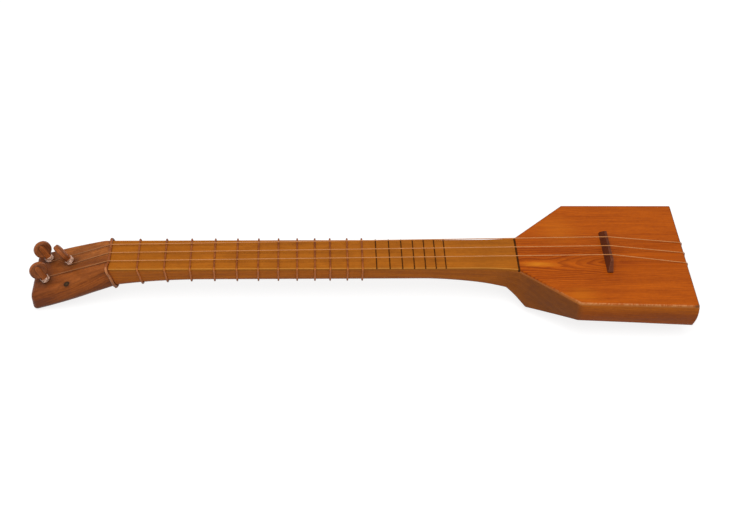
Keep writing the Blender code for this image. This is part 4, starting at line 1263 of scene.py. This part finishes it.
def make_tied_cord(node, x, thickness, bend, slip=0.0):
    """A cord round the neck whose end winds round its start under the back, in a small knot."""
    lift = SEAT + thickness / 2
    back = neck_back(x)
    radius, pitch = KNOT_RADIUS * thickness, KNOT_PITCH * thickness
    core = back - lift - radius
    knot_end = pitch * KNOT_TURNS / 2
    start = [
        (0.0, knot_end + thickness, core), (0.0, 0.0, core), (0.0, -knot_end, core),
        (0.0, -knot_end - KNOT_BEND * thickness, core + KNOT_RISE * radius),
        (0.0, -knot_end - KNOT_LEAD * thickness, back - lift),
    ]
    loop = [(0.0, y, z) for y, z in bent_section(x, lift, bend)]
    near = [point for point in loop if point[1] < 0 and point[2] < back + neck_round(x)]
    rest = [point for point in loop if point not in near]
    winding = []
    for step in range(round(KNOT_TURNS * KNOT_POINTS) + 1):
        up, along = on_circle(radius, 2 * math.pi * step / KNOT_POINTS)
        winding.append((along, knot_end - pitch * step / KNOT_POINTS, core + up))
    points = []
    for along, y, z in start + near[::-1] + rest[::-1] + winding:
        aside = slip * slip_share(y)
        points.append(Vector((x + along + neck_lean(x) * (TOP - z) - aside, y - SLIP_SPREAD * aside, z)))
    name = node + "_tied"
    show(name, laid_cord(name, points, thickness, FRET_GUT), FRET_GUT, "fret_gut", node)


def coil(matrix, radius, start, turns, low, high):
    """Points of a coil about the Z of a frame, from low to high. Its radius depends on the height."""
    points = []
    for share in spread(0.0, 1.0, round(abs(turns) * COIL_POINTS)):
        height = low + (high - low) * share
        angle = start + 2 * math.pi * turns * share
        points.append(matrix @ Vector((*on_circle(radius(height), angle), height)))
    return points


def peg_winding(number, nut_point):
    """Winding of a string on its peg, starting where the string from the nut touches it."""
    def radius(height):
        return peg_radius(height) + 2 * SEAT + STRING / 2
    matrix = peg_matrix(number)
    local = matrix.inverted() @ nut_point
    turn = -1 if PEG_BODIES[number] == "near_peg" else 1
    touch = math.acos(radius(COIL_LIFT) / math.hypot(local.x, local.y))
    start = math.atan2(local.y, local.x) - turn * touch
    return coil(matrix, radius, start, -turn * COIL_TURNS, COIL_LIFT, COIL_LIFT + COIL_HEIGHT)


def pin_winding(number):
    def radius(height):
        return PIN_DIAMETER / 2 + 2 * SEAT + STRING / 2
    low = CLEARANCE + STRING / 2
    return coil(pin_matrix(number), radius, -math.pi / 2, PIN_TURNS, low, low + PIN_PITCH * PIN_TURNS)


def arc(x, y, z, radius, start, end, steps):
    """Points of an arc about a place, in a plane of X and Z."""
    sides = (on_circle(radius, angle) for angle in spread(start, end, steps))
    return [Vector((x + along, y, z + up)) for along, up in sides]


def make_string(number):
    """A string from its peg over the nut and the bridge, round the tail edge to its pin."""
    half = STRING / 2
    nut_y, bridge_y, tail_y = ((1 - number) * gap for gap in (NUT_SPACING, BRIDGE_SPACING, TAIL_SPACING))
    nut_x = NUT_X - NUT_CORD_SLIP * slip_share(nut_y)
    nut_z = TOP + SEAT + NUT_CORD / 2
    upright = math.pi / 2
    over_nut = arc(nut_x, nut_y, nut_z, NUT_CORD / 2 + SEAT + half, upright, upright + HEAD_TILT, 6)
    route = peg_winding(number, over_nut[-1])[::-1]
    route.append(route[-1] + (over_nut[-1] - route[-1]).normalized() * STRING_LEAD)
    route += over_nut[::-1]
    for x in (BRIDGE_CREST_X - BRIDGE_CREST / 2, BRIDGE_CREST_X + BRIDGE_CREST / 2):
        route.append(Vector((x, bridge_y, BRIDGE_TOP - NOTCH_DEPTH + SEAT + half)))
    bend_z = TOP - EDGE_ROUND
    bend_x = TAIL_X + wall_swell(bend_z) - EDGE_ROUND
    route += arc(bend_x, tail_y, bend_z, EDGE_ROUND + 2 * SEAT + half, upright, 0.0, 8)
    for share in spread(0.0, 1.0, 8)[1:-1]:
        z = bend_z + (TOP - PIN_DROP - bend_z) * share
        gap = 2 * SEAT + CLEARANCE * share + half
        route.append(Vector((TAIL_X + wall_swell(z) + gap, tail_y, z)))
    route += pin_winding(number)
    node = f"string_{number + 1}"
    mesh = laid_cord(node + "_wound", route, STRING, STRING_NYLON)
    to_peg = peg_matrix(number).inverted()
    reach = peg_radius(COIL_LIFT + COIL_HEIGHT) + COIL_REACH * STRING
    write_values(mesh, "wound", [(to_peg @ v.co).to_2d().length < reach for v in mesh.vertices])
    show(node + "_wound", mesh, STRING_NYLON, "string_nylon", node)


bpy.context.scene.view_settings.view_transform = "Standard"
make_camera()
make_light()
make_floor()
make_neck()
make_head()
make_fingerboard()
make_inlays()
make_soundboard()
make_strip()
make_body()
make_bridge()
make_brace()
for number in range(len(PEG_BODIES)):
    make_peg(number)
    make_pin(number)
    make_string(number)
make_tied_cord("nut_cord", NUT_X, NUT_CORD, NUT_CORD_BEND, NUT_CORD_SLIP)
for number in range(1, TIED_FRETS + 1):
    make_tied_cord(f"fret_cord_{number:02d}", fret_x(number), FRET_CORD, FRET_CORD_BEND)
